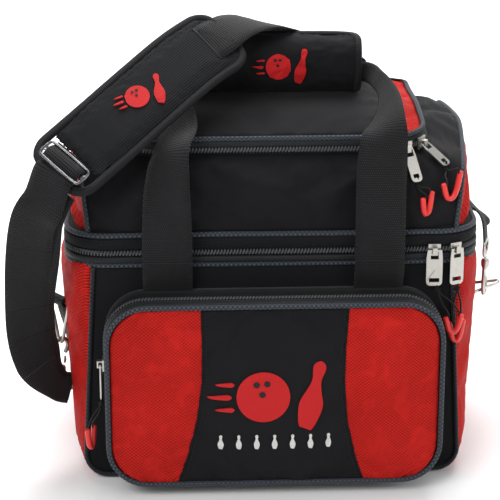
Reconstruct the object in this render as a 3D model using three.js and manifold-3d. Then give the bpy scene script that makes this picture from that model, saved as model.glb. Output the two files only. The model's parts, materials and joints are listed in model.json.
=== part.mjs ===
// A two-tier soft bowling bag: a ball compartment below, a shoe compartment above it that tips
// back on its rear seam, a zipped lid, a front pocket, webbing handles and a shoulder strap.
// Millimetres, +Z up. The front faces -Y. The origin is the centre of the base, on the floor.
import * as THREE from 'three';
import { mergeVertices } from 'three/addons/utils/BufferGeometryUtils.js';
import Module from 'manifold-3d';

const wasm = await Module();
wasm.setup();

// Driving dimensions
const CLOTH = 3;
const WEBBING = 2.4;
const WEB_HALF = 24;
const PIPING_R = 2.4;
const TAPE = 2;

const BODY = { frontY: -122, backY: 122, top: 221, cornerR: 22 };
const FACE_HALF = { bottom: 187, top: 174 };
const SIDE_HALF = { bottom: 190, top: 204 };

const FOOT = 3.5;
const SIDE_REACH = 118.4;
const FLOOR = { x: 326, y: 236 };
const BASE_BOARD = { x: 318, y: 228, z: 5.5, thickness: 4 };
const BALL_CUP = { inner: 48, rim: 62, outer: 80, base: 8, seat: 22, top: 34 };

const RIM = { half: 200, front: -122, back: 122, cornerR: 40, zipZ: 237, slit: 0.8 };
const RIM_LEVELS = { lowerPiping: 224, lowerTape: 226.8, upperTape: 251.2, upperPiping: 254 };
const UPPER = { base: 257, faceHalf: 177, topHalf: 182, frontY: -120.5, lean: 15.5, drop: 16, rearTop: 334 };
const WALL_CURVE = 1.6;
const END_PANEL = { frontTop: 300, rearTop: 326, rise: 70, inset: 9, backY: 114, proud: 2, crown: 10 };
const UPPER_FLOOR = { half: 197.5, halfY: 119.5, cornerR: 38, z: 246, thickness: 4 };
const ZIP_HEM = { wall: -8, shoulder: -9, tape: -10.5 };

const LID = { half: 150, length: 187, cornerR: 38, hingeY: 84, hingeZ: 356, slope: 7 };
const LID_PANEL = { half: 145, inset: 6, z: 8.5, crown: 5, redFrom: 109 };

const LID_PIPING_Z = 10;
const LID_TAPE_TOP = 7;
const SEAM_GAP = 0.4;

const POCKET = { half: 163, bottom: 12, top: 199, cornerR: 40, backY: -125, frontY: -164.5, foldZ: 96 };
const POCKET_FACE = { frontY: -171, half: 158, bottom: 17, top: 194, cornerR: 36, redFrom: 72 };

const LEG = { x: 102, rootZ: 204, joinZ: 250, rootY: -130, standY: -137 };
const GRIP = { left: -78, right: 84, z: 395, halfY: 22, halfZ: 25, wall: 4 };
const REAR_LEG = { y: 128.5, rootZ: 243 };

const RING_WIRE = 2;
const LEFT_RING = new THREE.Vector3(-210, -74, 172);
const RIGHT_RING = new THREE.Vector3(210, 0, 150);

const lerp = THREE.MathUtils.lerp;
const rad = THREE.MathUtils.degToRad;
const V = (x, y, z) => new THREE.Vector3(x, y, z);
const bag = new THREE.Group();

// Materials, one function for each finish
const finish = (color, roughness, metalness) => new THREE.MeshStandardMaterial({ color, roughness, metalness });
const blackCloth = () => finish(0x1d1e21, 0.88, 0);
const redRipstop = () => finish(0xc2231d, 0.7, 0);
const greyPiping = () => finish(0x3b4149, 0.75, 0);
const zipTape = () => finish(0x15161a, 0.8, 0);
const webbing = () => finish(0x121315, 0.8, 0);
const board = () => finish(0x2a2b2e, 0.6, 0);
const foam = () => finish(0x303236, 0.95, 0);
const nickel = () => finish(0xc9c6be, 0.28, 1);
const gunmetal = () => finish(0x6b6c70, 0.3, 1);
const redRubber = () => finish(0xe3251f, 0.4, 0);

function add(name, geometry, material, parent = bag) {
  const mesh = new THREE.Mesh(geometry, material);
  mesh.name = name;
  parent.add(mesh);
  return mesh;
}

// A closed surface from shared points and triangles, turned so that its faces point out
function closedSurface(points, faces) {
  let volume = 0;
  for (const [a, b, c] of faces) {
    volume += points[a].dot(points[b].clone().cross(points[c]));
  }
  const outward = volume < 0 ? faces.map(([a, b, c]) => [a, c, b]) : faces;
  const geometry = new THREE.BufferGeometry();
  geometry.setAttribute('position', new THREE.Float32BufferAttribute(points.flatMap((p) => p.toArray()), 3));
  geometry.setIndex(outward.flat());
  geometry.computeVertexNormals();
  return geometry;
}

const quad = (a, b, c, d) => [[a, b, c], [a, c, d]];

// A padded panel: a grid of surface points with a second skin set inwards, closed round its rim
function panel(surface, inward, columns, rows) {
  const points = [];
  for (const layer of [0, 1]) {
    for (let i = 0; i <= columns; i++) {
      for (let j = 0; j <= rows; j++) {
        const u = i / columns;
        const v = j / rows;
        points.push(surface(u, v).clone().addScaledVector(inward(u, v), layer));
      }
    }
  }
  const skin = (columns + 1) * (rows + 1);
  const at = (i, j, layer) => layer * skin + i * (rows + 1) + j;
  const faces = [];
  for (let i = 0; i < columns; i++) {
    for (let j = 0; j < rows; j++) {
      faces.push(...quad(at(i, j, 0), at(i + 1, j, 0), at(i + 1, j + 1, 0), at(i, j + 1, 0)));
      faces.push(...quad(at(i, j, 1), at(i, j + 1, 1), at(i + 1, j + 1, 1), at(i + 1, j, 1)));
    }
    faces.push(...quad(at(i, 0, 0), at(i, 0, 1), at(i + 1, 0, 1), at(i + 1, 0, 0)));
    faces.push(...quad(at(i, rows, 0), at(i + 1, rows, 0), at(i + 1, rows, 1), at(i, rows, 1)));
  }
  for (let j = 0; j < rows; j++) {
    faces.push(...quad(at(0, j, 0), at(0, j + 1, 0), at(0, j + 1, 1), at(0, j, 1)));
    faces.push(...quad(at(columns, j, 0), at(columns, j, 1), at(columns, j + 1, 1), at(columns, j + 1, 0)));
  }
  return closedSurface(points, faces);
}

// Sweeps a ring of section offsets along stations; a closed path joins its last station to its first
function sweep(stations, closed) {
  const points = stations.flat();
  const sides = stations[0].length;
  const count = stations.length;
  const faces = [];
  const last = closed ? count : count - 1;
  for (let i = 0; i < last; i++) {
    const here = i * sides;
    const next = ((i + 1) % count) * sides;
    for (let k = 0; k < sides; k++) {
      const m = (k + 1) % sides;
      faces.push(...quad(here + k, here + m, next + m, next + k));
    }
  }
  if (!closed) {
    const end = (count - 1) * sides;
    for (let k = 1; k < sides - 1; k++) {
      faces.push([0, k + 1, k]);
      faces.push([end, end + k, end + k + 1]);
    }
  }
  return closedSurface(points, faces);
}

function tangentAt(points, i, closed) {
  const n = points.length;
  const before = closed ? points[(i + n - 1) % n] : points[Math.max(i - 1, 0)];
  const after = closed ? points[(i + 1) % n] : points[Math.min(i + 1, n - 1)];
  return after.clone().sub(before).normalize();
}

// Flat webbing along a path; the width direction is given at each control point
function strip(controls, widths, halfWidth, thickness, steps) {
  const path = new THREE.CatmullRomCurve3(controls, false, 'centripetal').getPoints(steps);
  const turn = new THREE.CatmullRomCurve3(widths, false, 'centripetal').getPoints(steps);
  const stations = path.map((p, i) => {
    const along = tangentAt(path, i, false);
    const across = turn[i].addScaledVector(along, -turn[i].dot(along)).normalize();
    const normal = along.clone().cross(across);
    const half = typeof halfWidth === 'function' ? halfWidth(i / steps) : halfWidth;
    const corner = (a, b) => p.clone().addScaledVector(across, a * half).addScaledVector(normal, b * thickness / 2);
    return [corner(-1, -1), corner(1, -1), corner(1, 1), corner(-1, 1)];
  });
  return sweep(stations, false);
}

// Round cord along a closed flat path
function roundLoop(path, normal, radius, sides = 6) {
  const stations = path.map((p, i) => {
    const side = tangentAt(path, i, true).cross(normal).normalize();
    return Array.from({ length: sides }, (_, k) => {
      const a = (2 * Math.PI * k) / sides;
      return p.clone().addScaledVector(side, radius * Math.cos(a)).addScaledVector(normal, radius * Math.sin(a));
    });
  });
  return sweep(stations, true);
}

// Round wire along an open path
function wire(controls, radius, steps, sides = 6) {
  const corners = Array.from({ length: sides }, (_, k) => {
    const a = (2 * Math.PI * k) / sides;
    return new THREE.Vector2(radius * Math.cos(a), radius * Math.sin(a));
  });
  const extrudePath = new THREE.CatmullRomCurve3(controls, false, 'centripetal');
  return new THREE.ExtrudeGeometry(new THREE.Shape(corners), { extrudePath, steps });
}

function arcPoints(cx, cy, r, fromDeg, toDeg, count) {
  const points = [];
  for (let i = 0; i <= count; i++) {
    const a = rad(lerp(fromDeg, toDeg, i / count));
    points.push(new THREE.Vector2(cx + r * Math.cos(a), cy + r * Math.sin(a)));
  }
  return points;
}

function roundedRect(x0, x1, y0, y1, r, count = 5) {
  return [
    ...arcPoints(x0 + r, y0 + r, r, 180, 270, count),
    ...arcPoints(x1 - r, y0 + r, r, 270, 360, count),
    ...arcPoints(x1 - r, y1 - r, r, 0, 90, count),
    ...arcPoints(x0 + r, y1 - r, r, 90, 180, count),
  ];
}

// The zip track in plan: up the left side, round the front corners, down the right side
function trackPlan(half, front, end, r, count = 5) {
  return [
    new THREE.Vector2(-half, end),
    ...arcPoints(-half + r, front + r, r, 180, 270, count),
    ...arcPoints(half - r, front + r, r, 270, 360, count),
    new THREE.Vector2(half, end),
  ];
}

// An upright band that follows an open plan path
function band(plan, thickness, z0, z1) {
  const side = (offset) => plan.map((p, i) => {
    const before = plan[Math.max(i - 1, 0)];
    const after = plan[Math.min(i + 1, plan.length - 1)];
    const along = after.clone().sub(before).normalize();
    return new THREE.Vector2(p.x + along.y * offset, p.y - along.x * offset);
  });
  const outline = [...side(thickness / 2), ...side(-thickness / 2).reverse()];
  const geometry = new THREE.ExtrudeGeometry(new THREE.Shape(outline), { depth: z1 - z0, bevelEnabled: false });
  return geometry.translate(0, 0, z0);
}

// A flat plate whose outline is drawn in X and Z, standing between two Y planes
function uprightPlate(outline, y0, y1, holes = []) {
  const shape = new THREE.Shape(outline);
  shape.holes = holes.map((hole) => new THREE.Path(hole));
  const geometry = new THREE.ExtrudeGeometry(shape, { depth: y1 - y0, bevelEnabled: false });
  return geometry.rotateX(Math.PI / 2).translate(0, y1, 0);
}

// A bar whose outline is drawn in Y and Z, running between two X planes
function crossBar(outline, x0, x1, holes = []) {
  const shape = new THREE.Shape(outline);
  shape.holes = holes.map((hole) => new THREE.Path(hole));
  const geometry = new THREE.ExtrudeGeometry(shape, { depth: x1 - x0, bevelEnabled: false });
  const turn = new THREE.Matrix4().makeBasis(V(0, 1, 0), V(0, 0, 1), V(1, 0, 0));
  return geometry.applyMatrix4(turn).translate(x0, 0, 0);
}

const rect = (a0, a1, b0, b1) => [
  new THREE.Vector2(a0, b0),
  new THREE.Vector2(a1, b0),
  new THREE.Vector2(a1, b1),
  new THREE.Vector2(a0, b1),
];

function toSolid(geometry) {
  const bare = geometry.clone();
  bare.deleteAttribute('normal');
  bare.deleteAttribute('uv');
  const merged = mergeVertices(bare, 1e-4);
  const vertProperties = new Float32Array(merged.attributes.position.array);
  const triVerts = new Uint32Array(merged.index.array);
  return new wasm.Manifold(new wasm.Mesh({ numProp: 3, vertProperties, triVerts }));
}

function toGeometry(solid) {
  const mesh = solid.getMesh();
  const geometry = new THREE.BufferGeometry();
  geometry.setAttribute('position', new THREE.BufferAttribute(new Float32Array(mesh.vertProperties), 3));
  geometry.setIndex(new THREE.BufferAttribute(new Uint32Array(mesh.triVerts), 1));
  geometry.computeVertexNormals();
  return geometry;
}

function join(...geometries) {
  const solids = geometries.map(toSolid);
  return toGeometry(solids.reduce((sum, next) => sum.add(next)));
}

function cut(geometry, ...tools) {
  return toGeometry(tools.map(toSolid).reduce((rest, tool) => rest.subtract(tool), toSolid(geometry)));
}

// Lower compartment: its front and back are flat, its red sides bulge
const faceHalf = (z) => lerp(FACE_HALF.bottom, FACE_HALF.top, z / BODY.top);
const sideHalf = (z) => lerp(SIDE_HALF.bottom, SIDE_HALF.top, z / BODY.top);
const bulge = (s) => Math.cbrt(1 - Math.abs(s) ** 3);

function lowerFaceOutline() {
  const r = BODY.cornerR;
  const half = faceHalf(FOOT + r);
  return [
    ...arcPoints(-half + r, FOOT + r, r, 180, 270, 4),
    ...arcPoints(half - r, FOOT + r, r, 270, 360, 4),
    new THREE.Vector2(faceHalf(BODY.top), BODY.top),
    new THREE.Vector2(-faceHalf(BODY.top), BODY.top),
  ];
}

function lowerGusset(side) {
  const turnFrom = 0.85;
  const r = BODY.cornerR;
  const foot = 4;
  const angle = (v) => (v > turnFrom ? ((v - turnFrom) / (1 - turnFrom)) * (Math.PI / 2) : 0);
  const surface = (u, v) => {
    const s = Math.sin((u - 0.5) * Math.PI);
    const z = lerp(BODY.top, foot + r, Math.min(v / turnFrom, 1));
    const x = faceHalf(z) + (sideHalf(z) - faceHalf(z)) * bulge(s);
    const a = angle(v);
    return V(side * (x - r * (1 - Math.cos(a))), s * SIDE_REACH, z - r * Math.sin(a));
  };
  const inward = (u, v) => V(-side * CLOTH * Math.cos(angle(v)), 0, CLOTH * Math.sin(angle(v)));
  return panel(surface, inward, 14, 9);
}

function ballCup() {
  const { inner, rim, outer, base, seat, top } = BALL_CUP;
  const profile = [[inner, base], [outer, base], [outer, top], [rim, top], [inner, seat], [inner, base]];
  const turned = new THREE.LatheGeometry(profile.map(([x, y]) => new THREE.Vector2(x, y)), 28);
  return turned.rotateX(Math.PI / 2);
}

function buildLower() {
  const outline = lowerFaceOutline();
  add('lower_front_panel', uprightPlate(outline, BODY.frontY, BODY.frontY + CLOTH), blackCloth());
  add('lower_rear_panel', uprightPlate(outline, BODY.backY - CLOTH, BODY.backY), blackCloth());
  add('lower_left_gusset', lowerGusset(-1), redRipstop());
  add('lower_right_gusset', lowerGusset(1), redRipstop());
  const floor = new THREE.BoxGeometry(FLOOR.x, FLOOR.y, CLOTH);
  add('lower_bottom_panel', floor.translate(0, 0, CLOTH / 2), blackCloth());
  const stiffener = new THREE.BoxGeometry(BASE_BOARD.x, BASE_BOARD.y, BASE_BOARD.thickness);
  add('base_board', stiffener.translate(0, 0, BASE_BOARD.z), board());
  add('ball_cup', ballCup(), foam());
}

// The rim: piping and tape on each side of the main zip
function rimPiping(z) {
  const plan = roundedRect(-RIM.half, RIM.half, RIM.front, RIM.back, RIM.cornerR);
  return roundLoop(plan.map((p) => V(p.x, p.y, z)), V(0, 0, 1), PIPING_R);
}

// Zip tape at the front and sides, carried on round the back as the seam the upper part tips on
function rimTape(z0, z1) {
  const around = (offset) => {
    const { half, front, back, cornerR } = RIM;
    return roundedRect(-half - offset, half + offset, front - offset, back + offset, cornerR + offset);
  };
  const shape = new THREE.Shape(around(TAPE / 2));
  shape.holes = [new THREE.Path(around(-TAPE / 2))];
  return new THREE.ExtrudeGeometry(shape, { depth: z1 - z0, bevelEnabled: false }).translate(0, 0, z0);
}

function buildRim() {
  add('rim_piping_lower', rimPiping(RIM_LEVELS.lowerPiping), greyPiping());
  add('main_zip_lower_tape', rimTape(RIM_LEVELS.lowerTape, RIM.zipZ - RIM.slit), zipTape());
  add('main_zip_upper_tape', rimTape(RIM.zipZ + RIM.slit, RIM_LEVELS.upperTape), zipTape());
  add('rim_piping_upper', rimPiping(RIM_LEVELS.upperPiping), greyPiping());
}

// The lid's frame: origin on the hinge line, -Y' towards the front, tilted down to the front
const lidFrame = new THREE.Group();
lidFrame.position.set(0, LID.hingeY, LID.hingeZ);
lidFrame.rotation.x = rad(LID.slope);
lidFrame.updateMatrix();
const onLid = (x, y, z) => V(x, y, z).applyMatrix4(lidFrame.matrix);

// Upper compartment: a front wall that rolls over its shoulders up to the lid's zip
function upperFront(v) {
  return UPPER.frontY + UPPER.lean * v ** WALL_CURVE;
}

// The front wall's top edge is level between the lid's corners and drops towards the shoulders
function wallTop(x, top) {
  const out = Math.max(0, Math.abs(x) - (LID.half - LID.cornerR)) / (UPPER.topHalf - LID.half + LID.cornerR);
  return top - UPPER.drop * Math.min(1, out);
}

function frontWall(top) {
  const surface = (u, v) => {
    const x = lerp(UPPER.faceHalf, UPPER.topHalf, v) * (2 * u - 1);
    return V(x, upperFront(v), lerp(UPPER.base, wallTop(x, top), v));
  };
  return panel(surface, () => V(0, CLOTH, 0), 10, 4);
}

function shoulder(side, top) {
  const r = LID.cornerR;
  const centre = { x: LID.half - r, y: -LID.length + r };
  const arcSteps = 6;
  const straightSteps = 3;
  const outerFront = upperFront(1);
  const inner = [];
  const outer = [];
  for (let i = 0; i <= arcSteps; i++) {
    const a = rad(lerp(-90, 0, i / arcSteps));
    inner.push(onLid(centre.x + r * Math.cos(a), centre.y + r * Math.sin(a), ZIP_HEM.shoulder));
    const world = onLid(centre.x, centre.y, 0);
    const depth = world.y - outerFront;
    const width = UPPER.topHalf - centre.x;
    const reach = Math.min(depth / Math.max(Math.abs(Math.sin(a)), 1e-6), width / Math.max(Math.cos(a), 1e-6));
    outer.push(V(centre.x + reach * Math.cos(a), world.y + reach * Math.sin(a), top));
  }
  for (let i = 1; i <= straightSteps; i++) {
    const t = i / straightSteps;
    inner.push(onLid(LID.half, lerp(centre.y, -2, t), ZIP_HEM.shoulder));
    outer.push(V(UPPER.topHalf, lerp(outer[arcSteps].y, LID.hingeY - 2, t), top));
  }
  for (const p of outer) {
    const back = (p.y - outerFront) / (LID.hingeY - outerFront);
    p.z = lerp(wallTop(p.x, top), UPPER.rearTop, back);
  }
  const last = inner.length - 1;
  const surface = (u, v) => {
    const k = Math.round(u * last);
    const p = inner[k].clone().lerp(outer[k], v);
    p.z += 3 * Math.sin(Math.PI * v) * Math.min(1, inner[k].distanceTo(outer[k]) / 30);
    p.x *= side;
    return p;
  };
  return panel(surface, () => V(0, 0, -CLOTH), last, 4);
}

function upperTopTape() {
  const plan = trackPlan(LID.half, -LID.length, -2, LID.cornerR);
  return band(plan, TAPE, ZIP_HEM.tape, -RIM.slit).applyMatrix4(lidFrame.matrix);
}

function upperCowl() {
  const top = onLid(0, -LID.length, ZIP_HEM.wall).z;
  return join(frontWall(top), shoulder(-1, top), shoulder(1, top), upperTopTape());
}

function upperEnd(side) {
  const surface = (u, v) => {
    const top = lerp(END_PANEL.frontTop, END_PANEL.rearTop, u);
    const z = lerp(UPPER.base, top, v);
    const rise = (z - UPPER.base) / END_PANEL.rise;
    const y = lerp(upperFront(Math.min(rise, 1)) + END_PANEL.inset, END_PANEL.backY, u);
    const swell = Math.sin(Math.PI * u) ** 0.7 * Math.sin(Math.PI * (0.15 + 0.7 * v));
    const x = lerp(UPPER.faceHalf, UPPER.topHalf, v) + END_PANEL.proud + END_PANEL.crown * swell;
    return V(side * x, y, z);
  };
  return panel(surface, () => V(-side * CLOTH, 0, 0), 8, 5);
}

// The rear wall rises from the rear seam and rolls forward to the lid's hinge
function upperRear() {
  const profile = new THREE.CatmullRomCurve3([
    V(0, 120.5, 257.5),
    V(0, 120.5, 295),
    V(0, 118, 322),
    V(0, 106, 340),
    V(0, 89, 346),
  ]);
  const surface = (u, v) => {
    const p = profile.getPoint(v);
    p.x = (2 * u - 1) * lerp(UPPER.faceHalf - 3, UPPER.topHalf - 3, v);
    return p;
  };
  const inward = (u, v) => {
    const along = profile.getTangent(v);
    return V(0, -along.z, along.y).multiplyScalar(CLOTH);
  };
  return panel(surface, inward, 4, 8);
}

function buildUpper() {
  add('upper_cowl', upperCowl(), blackCloth());
  add('upper_left_end', upperEnd(-1), redRipstop());
  add('upper_right_end', upperEnd(1), redRipstop());
  add('upper_rear_wall', upperRear(), blackCloth());
  const { half, halfY, cornerR, z, thickness } = UPPER_FLOOR;
  const floorPlan = roundedRect(-half, half, -halfY, halfY, cornerR, 4);
  const floor = new THREE.ExtrudeGeometry(new THREE.Shape(floorPlan), { depth: thickness, bevelEnabled: false });
  add('upper_floor', floor.translate(0, 0, z), board());
}

// Lid: a crowned top with red ends, piping and its own zip tape
function lidTop(x0, x1) {
  const y0 = -LID.length + LID_PANEL.inset;
  const y1 = -LID_PANEL.inset;
  const r = LID.cornerR - 5;
  const frontAt = (x) => {
    const over = Math.max(Math.abs(x) - (LID_PANEL.half - r), 0);
    return y0 + r - Math.sqrt(Math.max(r * r - over * over, 0));
  };
  const surface = (u, v) => {
    const x = lerp(x0, x1, u);
    const y = lerp(frontAt(x), y1, v);
    const fall = (x / LID_PANEL.half) ** 2;
    const lift = LID_PANEL.crown * Math.sin(Math.PI * v) * (1 - fall);
    return V(x, y, LID_PANEL.z + CLOTH + lift);
  };
  return panel(surface, () => V(0, 0, -CLOTH), 8, 6);
}

function buildLid() {
  const red = LID_PANEL.redFrom;
  const edge = LID_PANEL.half - SEAM_GAP;
  add('lid_centre_panel', lidTop(-red + SEAM_GAP, red - SEAM_GAP), blackCloth(), lidFrame);
  add('lid_left_end', lidTop(-edge, -red), redRipstop(), lidFrame);
  add('lid_right_end', lidTop(red, edge), redRipstop(), lidFrame);
  const x = LID_PANEL.half + 3.5;
  const front = -LID.length + 2.5;
  const r = LID.cornerR - 1.5;
  const edgePlan = [
    ...arcPoints(-x + r, front + r, r, 180, 270, 6),
    ...arcPoints(x - r, front + r, r, 270, 360, 6),
    ...arcPoints(x - 4, -6.5, 4, 0, 90, 2),
    ...arcPoints(-x + 4, -6.5, 4, 90, 180, 2),
  ];
  const piping = roundLoop(edgePlan.map((p) => V(p.x, p.y, LID_PIPING_Z)), V(0, 0, 1), PIPING_R);
  add('lid_piping', piping, greyPiping(), lidFrame);
  const plan = trackPlan(LID.half, -LID.length, -4, LID.cornerR);
  add('lid_zip_tape', band(plan, TAPE, RIM.slit, LID_TAPE_TOP), zipTape(), lidFrame);
  bag.add(lidFrame);
}

// Pocket: a fixed gusset with the face's foot, and a face that folds down above the zip's ends
function pocketOutline(inset, r) {
  return roundedRect(-POCKET.half + inset, POCKET.half - inset, POCKET.bottom + inset, POCKET.top - inset, r, 6);
}

function pocketGusset() {
  const wall = uprightPlate(pocketOutline(0, POCKET.cornerR), POCKET.frontY, POCKET.backY,
    [pocketOutline(CLOTH, POCKET.cornerR - CLOTH)]);
  const face = POCKET_FACE;
  const foot = uprightPlate([
    ...arcPoints(-face.half + face.cornerR, face.bottom + face.cornerR, face.cornerR, 180, 270, 5),
    ...arcPoints(face.half - face.cornerR, face.bottom + face.cornerR, face.cornerR, 270, 360, 5),
    new THREE.Vector2(face.half, POCKET.foldZ - 1.5),
    new THREE.Vector2(-face.half, POCKET.foldZ - 1.5),
  ], face.frontY, face.frontY + CLOTH);
  const tray = uprightPlate(rect(-110, 110, POCKET.bottom, POCKET.bottom + 9), face.frontY + 1, POCKET.frontY + 1);
  return join(wall, tray, foot);
}

function pocketPanel(x0, x1) {
  const face = POCKET_FACE;
  const topAt = (x) => {
    const over = Math.max(Math.abs(x) - (face.half - face.cornerR), 0);
    return face.top - face.cornerR + Math.sqrt(Math.max(face.cornerR ** 2 - over ** 2, 0));
  };
  const outline = [new THREE.Vector2(x0, POCKET.foldZ), new THREE.Vector2(x1, POCKET.foldZ)];
  const steps = 6;
  for (let i = 0; i <= steps; i++) {
    const x = lerp(x1, x0, i / steps);
    outline.push(new THREE.Vector2(x, topAt(x)));
  }
  return uprightPlate(outline, face.frontY, face.frontY + CLOTH);
}

function pocketPiping() {
  const offset = 3.2;
  const face = POCKET_FACE;
  const x = face.half + offset;
  const r = face.cornerR + offset;
  const top = face.top + offset;
  const plan = [
    new THREE.Vector2(-x, POCKET.foldZ + 1),
    ...arcPoints(-x + r, top - r, r, 180, 90, 6),
    ...arcPoints(x - r, top - r, r, 90, 0, 6),
    new THREE.Vector2(x, POCKET.foldZ + 1),
  ];
  return wireThrough(plan.map((p) => V(p.x, face.frontY + 1, p.y)), V(0, 1, 0), PIPING_R);
}

// Round cord along an open flat path, with the given path normal
function wireThrough(path, normal, radius, sides = 6) {
  const stations = path.map((p, i) => {
    const side = tangentAt(path, i, false).cross(normal).normalize();
    return Array.from({ length: sides }, (_, k) => {
      const a = (2 * Math.PI * k) / sides;
      return p.clone().addScaledVector(side, radius * Math.cos(a)).addScaledVector(normal, radius * Math.sin(a));
    });
  });
  return sweep(stations, false);
}

function buildPocket() {
  const { half, redFrom } = POCKET_FACE;
  add('pocket_gusset', pocketGusset(), blackCloth());
  add('pocket_left_panel', pocketPanel(-half, -redFrom - 0.4), redRipstop());
  add('pocket_centre_panel', pocketPanel(-redFrom, redFrom), blackCloth());
  add('pocket_right_panel', pocketPanel(redFrom + 0.4, half), redRipstop());
  add('pocket_piping', pocketPiping(), greyPiping());
}

// Handles: webbing legs, two loops and the padded wrap that holds the loops together
function frontLeg(x) {
  const controls = [
    V(x, LEG.rootY, LEG.rootZ),
    V(x, LEG.rootY - 3, LEG.rootZ + 10),
    V(x, LEG.standY, LEG.rootZ + 22),
    V(x, LEG.standY, LEG.joinZ - 0.5),
  ];
  return strip(controls, controls.map(() => V(1, 0, 0)), WEB_HALF, WEBBING, 6);
}

// Half width of a loop along its length: full on the legs, folded narrow inside the wrap
const foldedHalf = (grip) => (t) => lerp(grip, WEB_HALF, Math.min(1, Math.max(0, (Math.abs(t - 0.5) - 0.2) * 6)));

function frontLoop() {
  const x = LEG.x;
  const controls = [
    V(-x, LEG.standY, LEG.joinZ + 0.5),
    V(-x, -136, 315),
    V(-97, -129, 340),
    V(-89, -100, 354),
    V(-90, -54, 368),
    V(-85, -10, 385),
    V(0, -6, 386),
    V(90, -9, 386),
    V(110, -46, 384),
    V(x + 9, -94, 375),
    V(x + 2, -129, 358),
    V(x, -136, 315),
    V(x, LEG.standY, LEG.joinZ + 0.5),
  ];
  const widths = [
    V(-1, 0, 0), V(-1, 0, 0), V(-1, 0, 0), V(-0.95, 0.3, 0), V(-0.6, 0.8, 0), V(-0.2, 1, 0), V(0, 1, 0),
    V(0.2, 1, 0), V(0.6, 0.8, 0), V(0.95, 0.3, 0), V(1, 0, 0), V(1, 0, 0), V(1, 0, 0),
  ];
  return strip(controls, widths, foldedHalf(10), WEBBING, 48);
}

function rearLoop() {
  const x = LEG.x;
  const { y, rootZ } = REAR_LEG;
  const half = [
    V(x, y, rootZ),
    V(x, y, 310),
    V(x, y - 2, 350),
    V(x - 2, 102, 374),
    V(104, 48, 392),
    V(88, 7, 400),
  ];
  const turns = [V(1, 0, 0), V(1, 0, 0), V(1, 0, 0), V(0.95, -0.3, 0), V(0.6, -0.8, 0), V(0.2, -1, 0)];
  const mirrored = half.map((p) => V(-p.x, p.y, p.z));
  const controls = [...mirrored, V(0, 2, 400), ...half.slice().reverse()];
  const leftTurns = turns.map((w) => V(-w.x, w.y, 0));
  const widths = [...leftTurns, V(0, -1, 0), ...turns.slice().reverse()];
  return strip(controls, widths, foldedHalf(11), WEBBING, 44);
}

function gripWrap() {
  const { halfY, halfZ, z, wall } = GRIP;
  const soft = 9;
  const lip = 12;
  const inner = soft - wall;
  const outline = [
    new THREE.Vector2(-2, z - halfZ),
    new THREE.Vector2(-2, z - halfZ + wall),
    ...arcPoints(-halfY + wall + inner, z - halfZ + wall + inner, inner, 270, 180, 3),
    ...arcPoints(-halfY + wall + inner, z + halfZ - wall - inner, inner, 180, 90, 3),
    ...arcPoints(halfY - wall - inner, z + halfZ - wall - inner, inner, 90, 0, 3),
    new THREE.Vector2(halfY - wall, z + halfZ - lip),
    new THREE.Vector2(halfY, z + halfZ - lip),
    ...arcPoints(halfY - soft, z + halfZ - soft, soft, 0, 90, 3),
    ...arcPoints(-halfY + soft, z + halfZ - soft, soft, 90, 180, 3),
    ...arcPoints(-halfY + soft, z - halfZ + soft, soft, 180, 270, 3),
  ];
  return crossBar(outline, GRIP.left, GRIP.right);
}

function buildHandles() {
  add('front_leg_left', frontLeg(-LEG.x), webbing());
  add('front_leg_right', frontLeg(LEG.x), webbing());
  add('front_handle_webbing', frontLoop(), webbing());
  add('grip_wrap', gripWrap(), blackCloth());
  add('rear_handle_webbing', rearLoop(), webbing());
}

// Shoulder strap: a padded shoulder piece, webbing to each side, and a wire slide adjuster
const PAD_WIDTH = V(0.74, -0.5, -0.42);

function shoulderPad() {
  const controls = [V(-206, -147, 321), V(-160, -120, 356), V(-117, -92, 388), V(-76, -62, 416), V(-38, -36, 436)];
  const ends = (t) => lerp(27, 38, Math.min(1, 8 * Math.min(t, 1 - t)));
  return strip(controls, controls.map(() => PAD_WIDTH.clone()), ends, 9, 16);
}

function strapLeftDrop() {
  const controls = [
    V(-211, -152, 311),
    V(-225, -148, 285),
    V(-234, -136, 240),
    V(-238, -124, 190),
    V(-237, -108, 135),
    V(-234, -99, 88),
    V(-221, -90, 56),
    V(-209.5, -75, 59),
  ];
  const widths = [
    PAD_WIDTH.clone(), V(0.9, -0.4, -0.2), V(1, -0.1, 0), V(1, 0, 0), V(0.95, 0.2, 0), V(0.9, 0.4, 0),
    V(0.8, 0.6, 0), V(0.8, 0.6, 0),
  ];
  const narrow = (t) => lerp(WEB_HALF, 20, t);
  return strip(controls, widths, narrow, 5, 24);
}

function strapRight() {
  const controls = [
    V(-33.5, -33.5, 440),
    V(-8, -12, 441),
    V(24, 34, 434),
    V(50, 84, 414),
    V(80, 126, 386),
    V(114, 147, 348),
    V(150, 154, 306),
    V(182, 148, 268),
    V(207, 116, 244),
    V(220, 72, 240),
    V(226, 30, 244),
    V(226.5, -4, 238),
    V(226, -8.4, 213),
  ];
  const widths = [
    PAD_WIDTH.clone(), PAD_WIDTH.clone(), V(0.7, -0.6, -0.1), V(0.75, -0.5, 0.3), V(0.75, -0.2, 0.6),
    V(0.7, 0.1, 0.7), V(0.65, 0.1, 0.75), V(0.45, 0.3, 0.85), V(0.1, 0.3, 0.95), V(-0.1, 0.1, 0.98),
    V(-0.2, -0.4, 0.85), V(-0.29, -0.96, 0), V(-0.29, -0.96, 0),
  ];
  return strip(controls, widths, 22, WEBBING, 48);
}

// A rounded rectangle of wire with a centre bar, lying on the pad's lower end
function slideAdjuster() {
  const halfLong = 26;
  const halfShort = 9;
  const outline = roundedRect(-halfLong, halfLong, -halfShort, halfShort, 4, 2);
  const loop = roundLoop(outline.map((p) => V(p.x, p.y, 0)), V(0, 0, 1), 1.8);
  const bar = new THREE.CylinderGeometry(1.4, 1.4, 2 * halfLong, 6).rotateZ(Math.PI / 2);
  return join(loop, bar);
}

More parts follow.
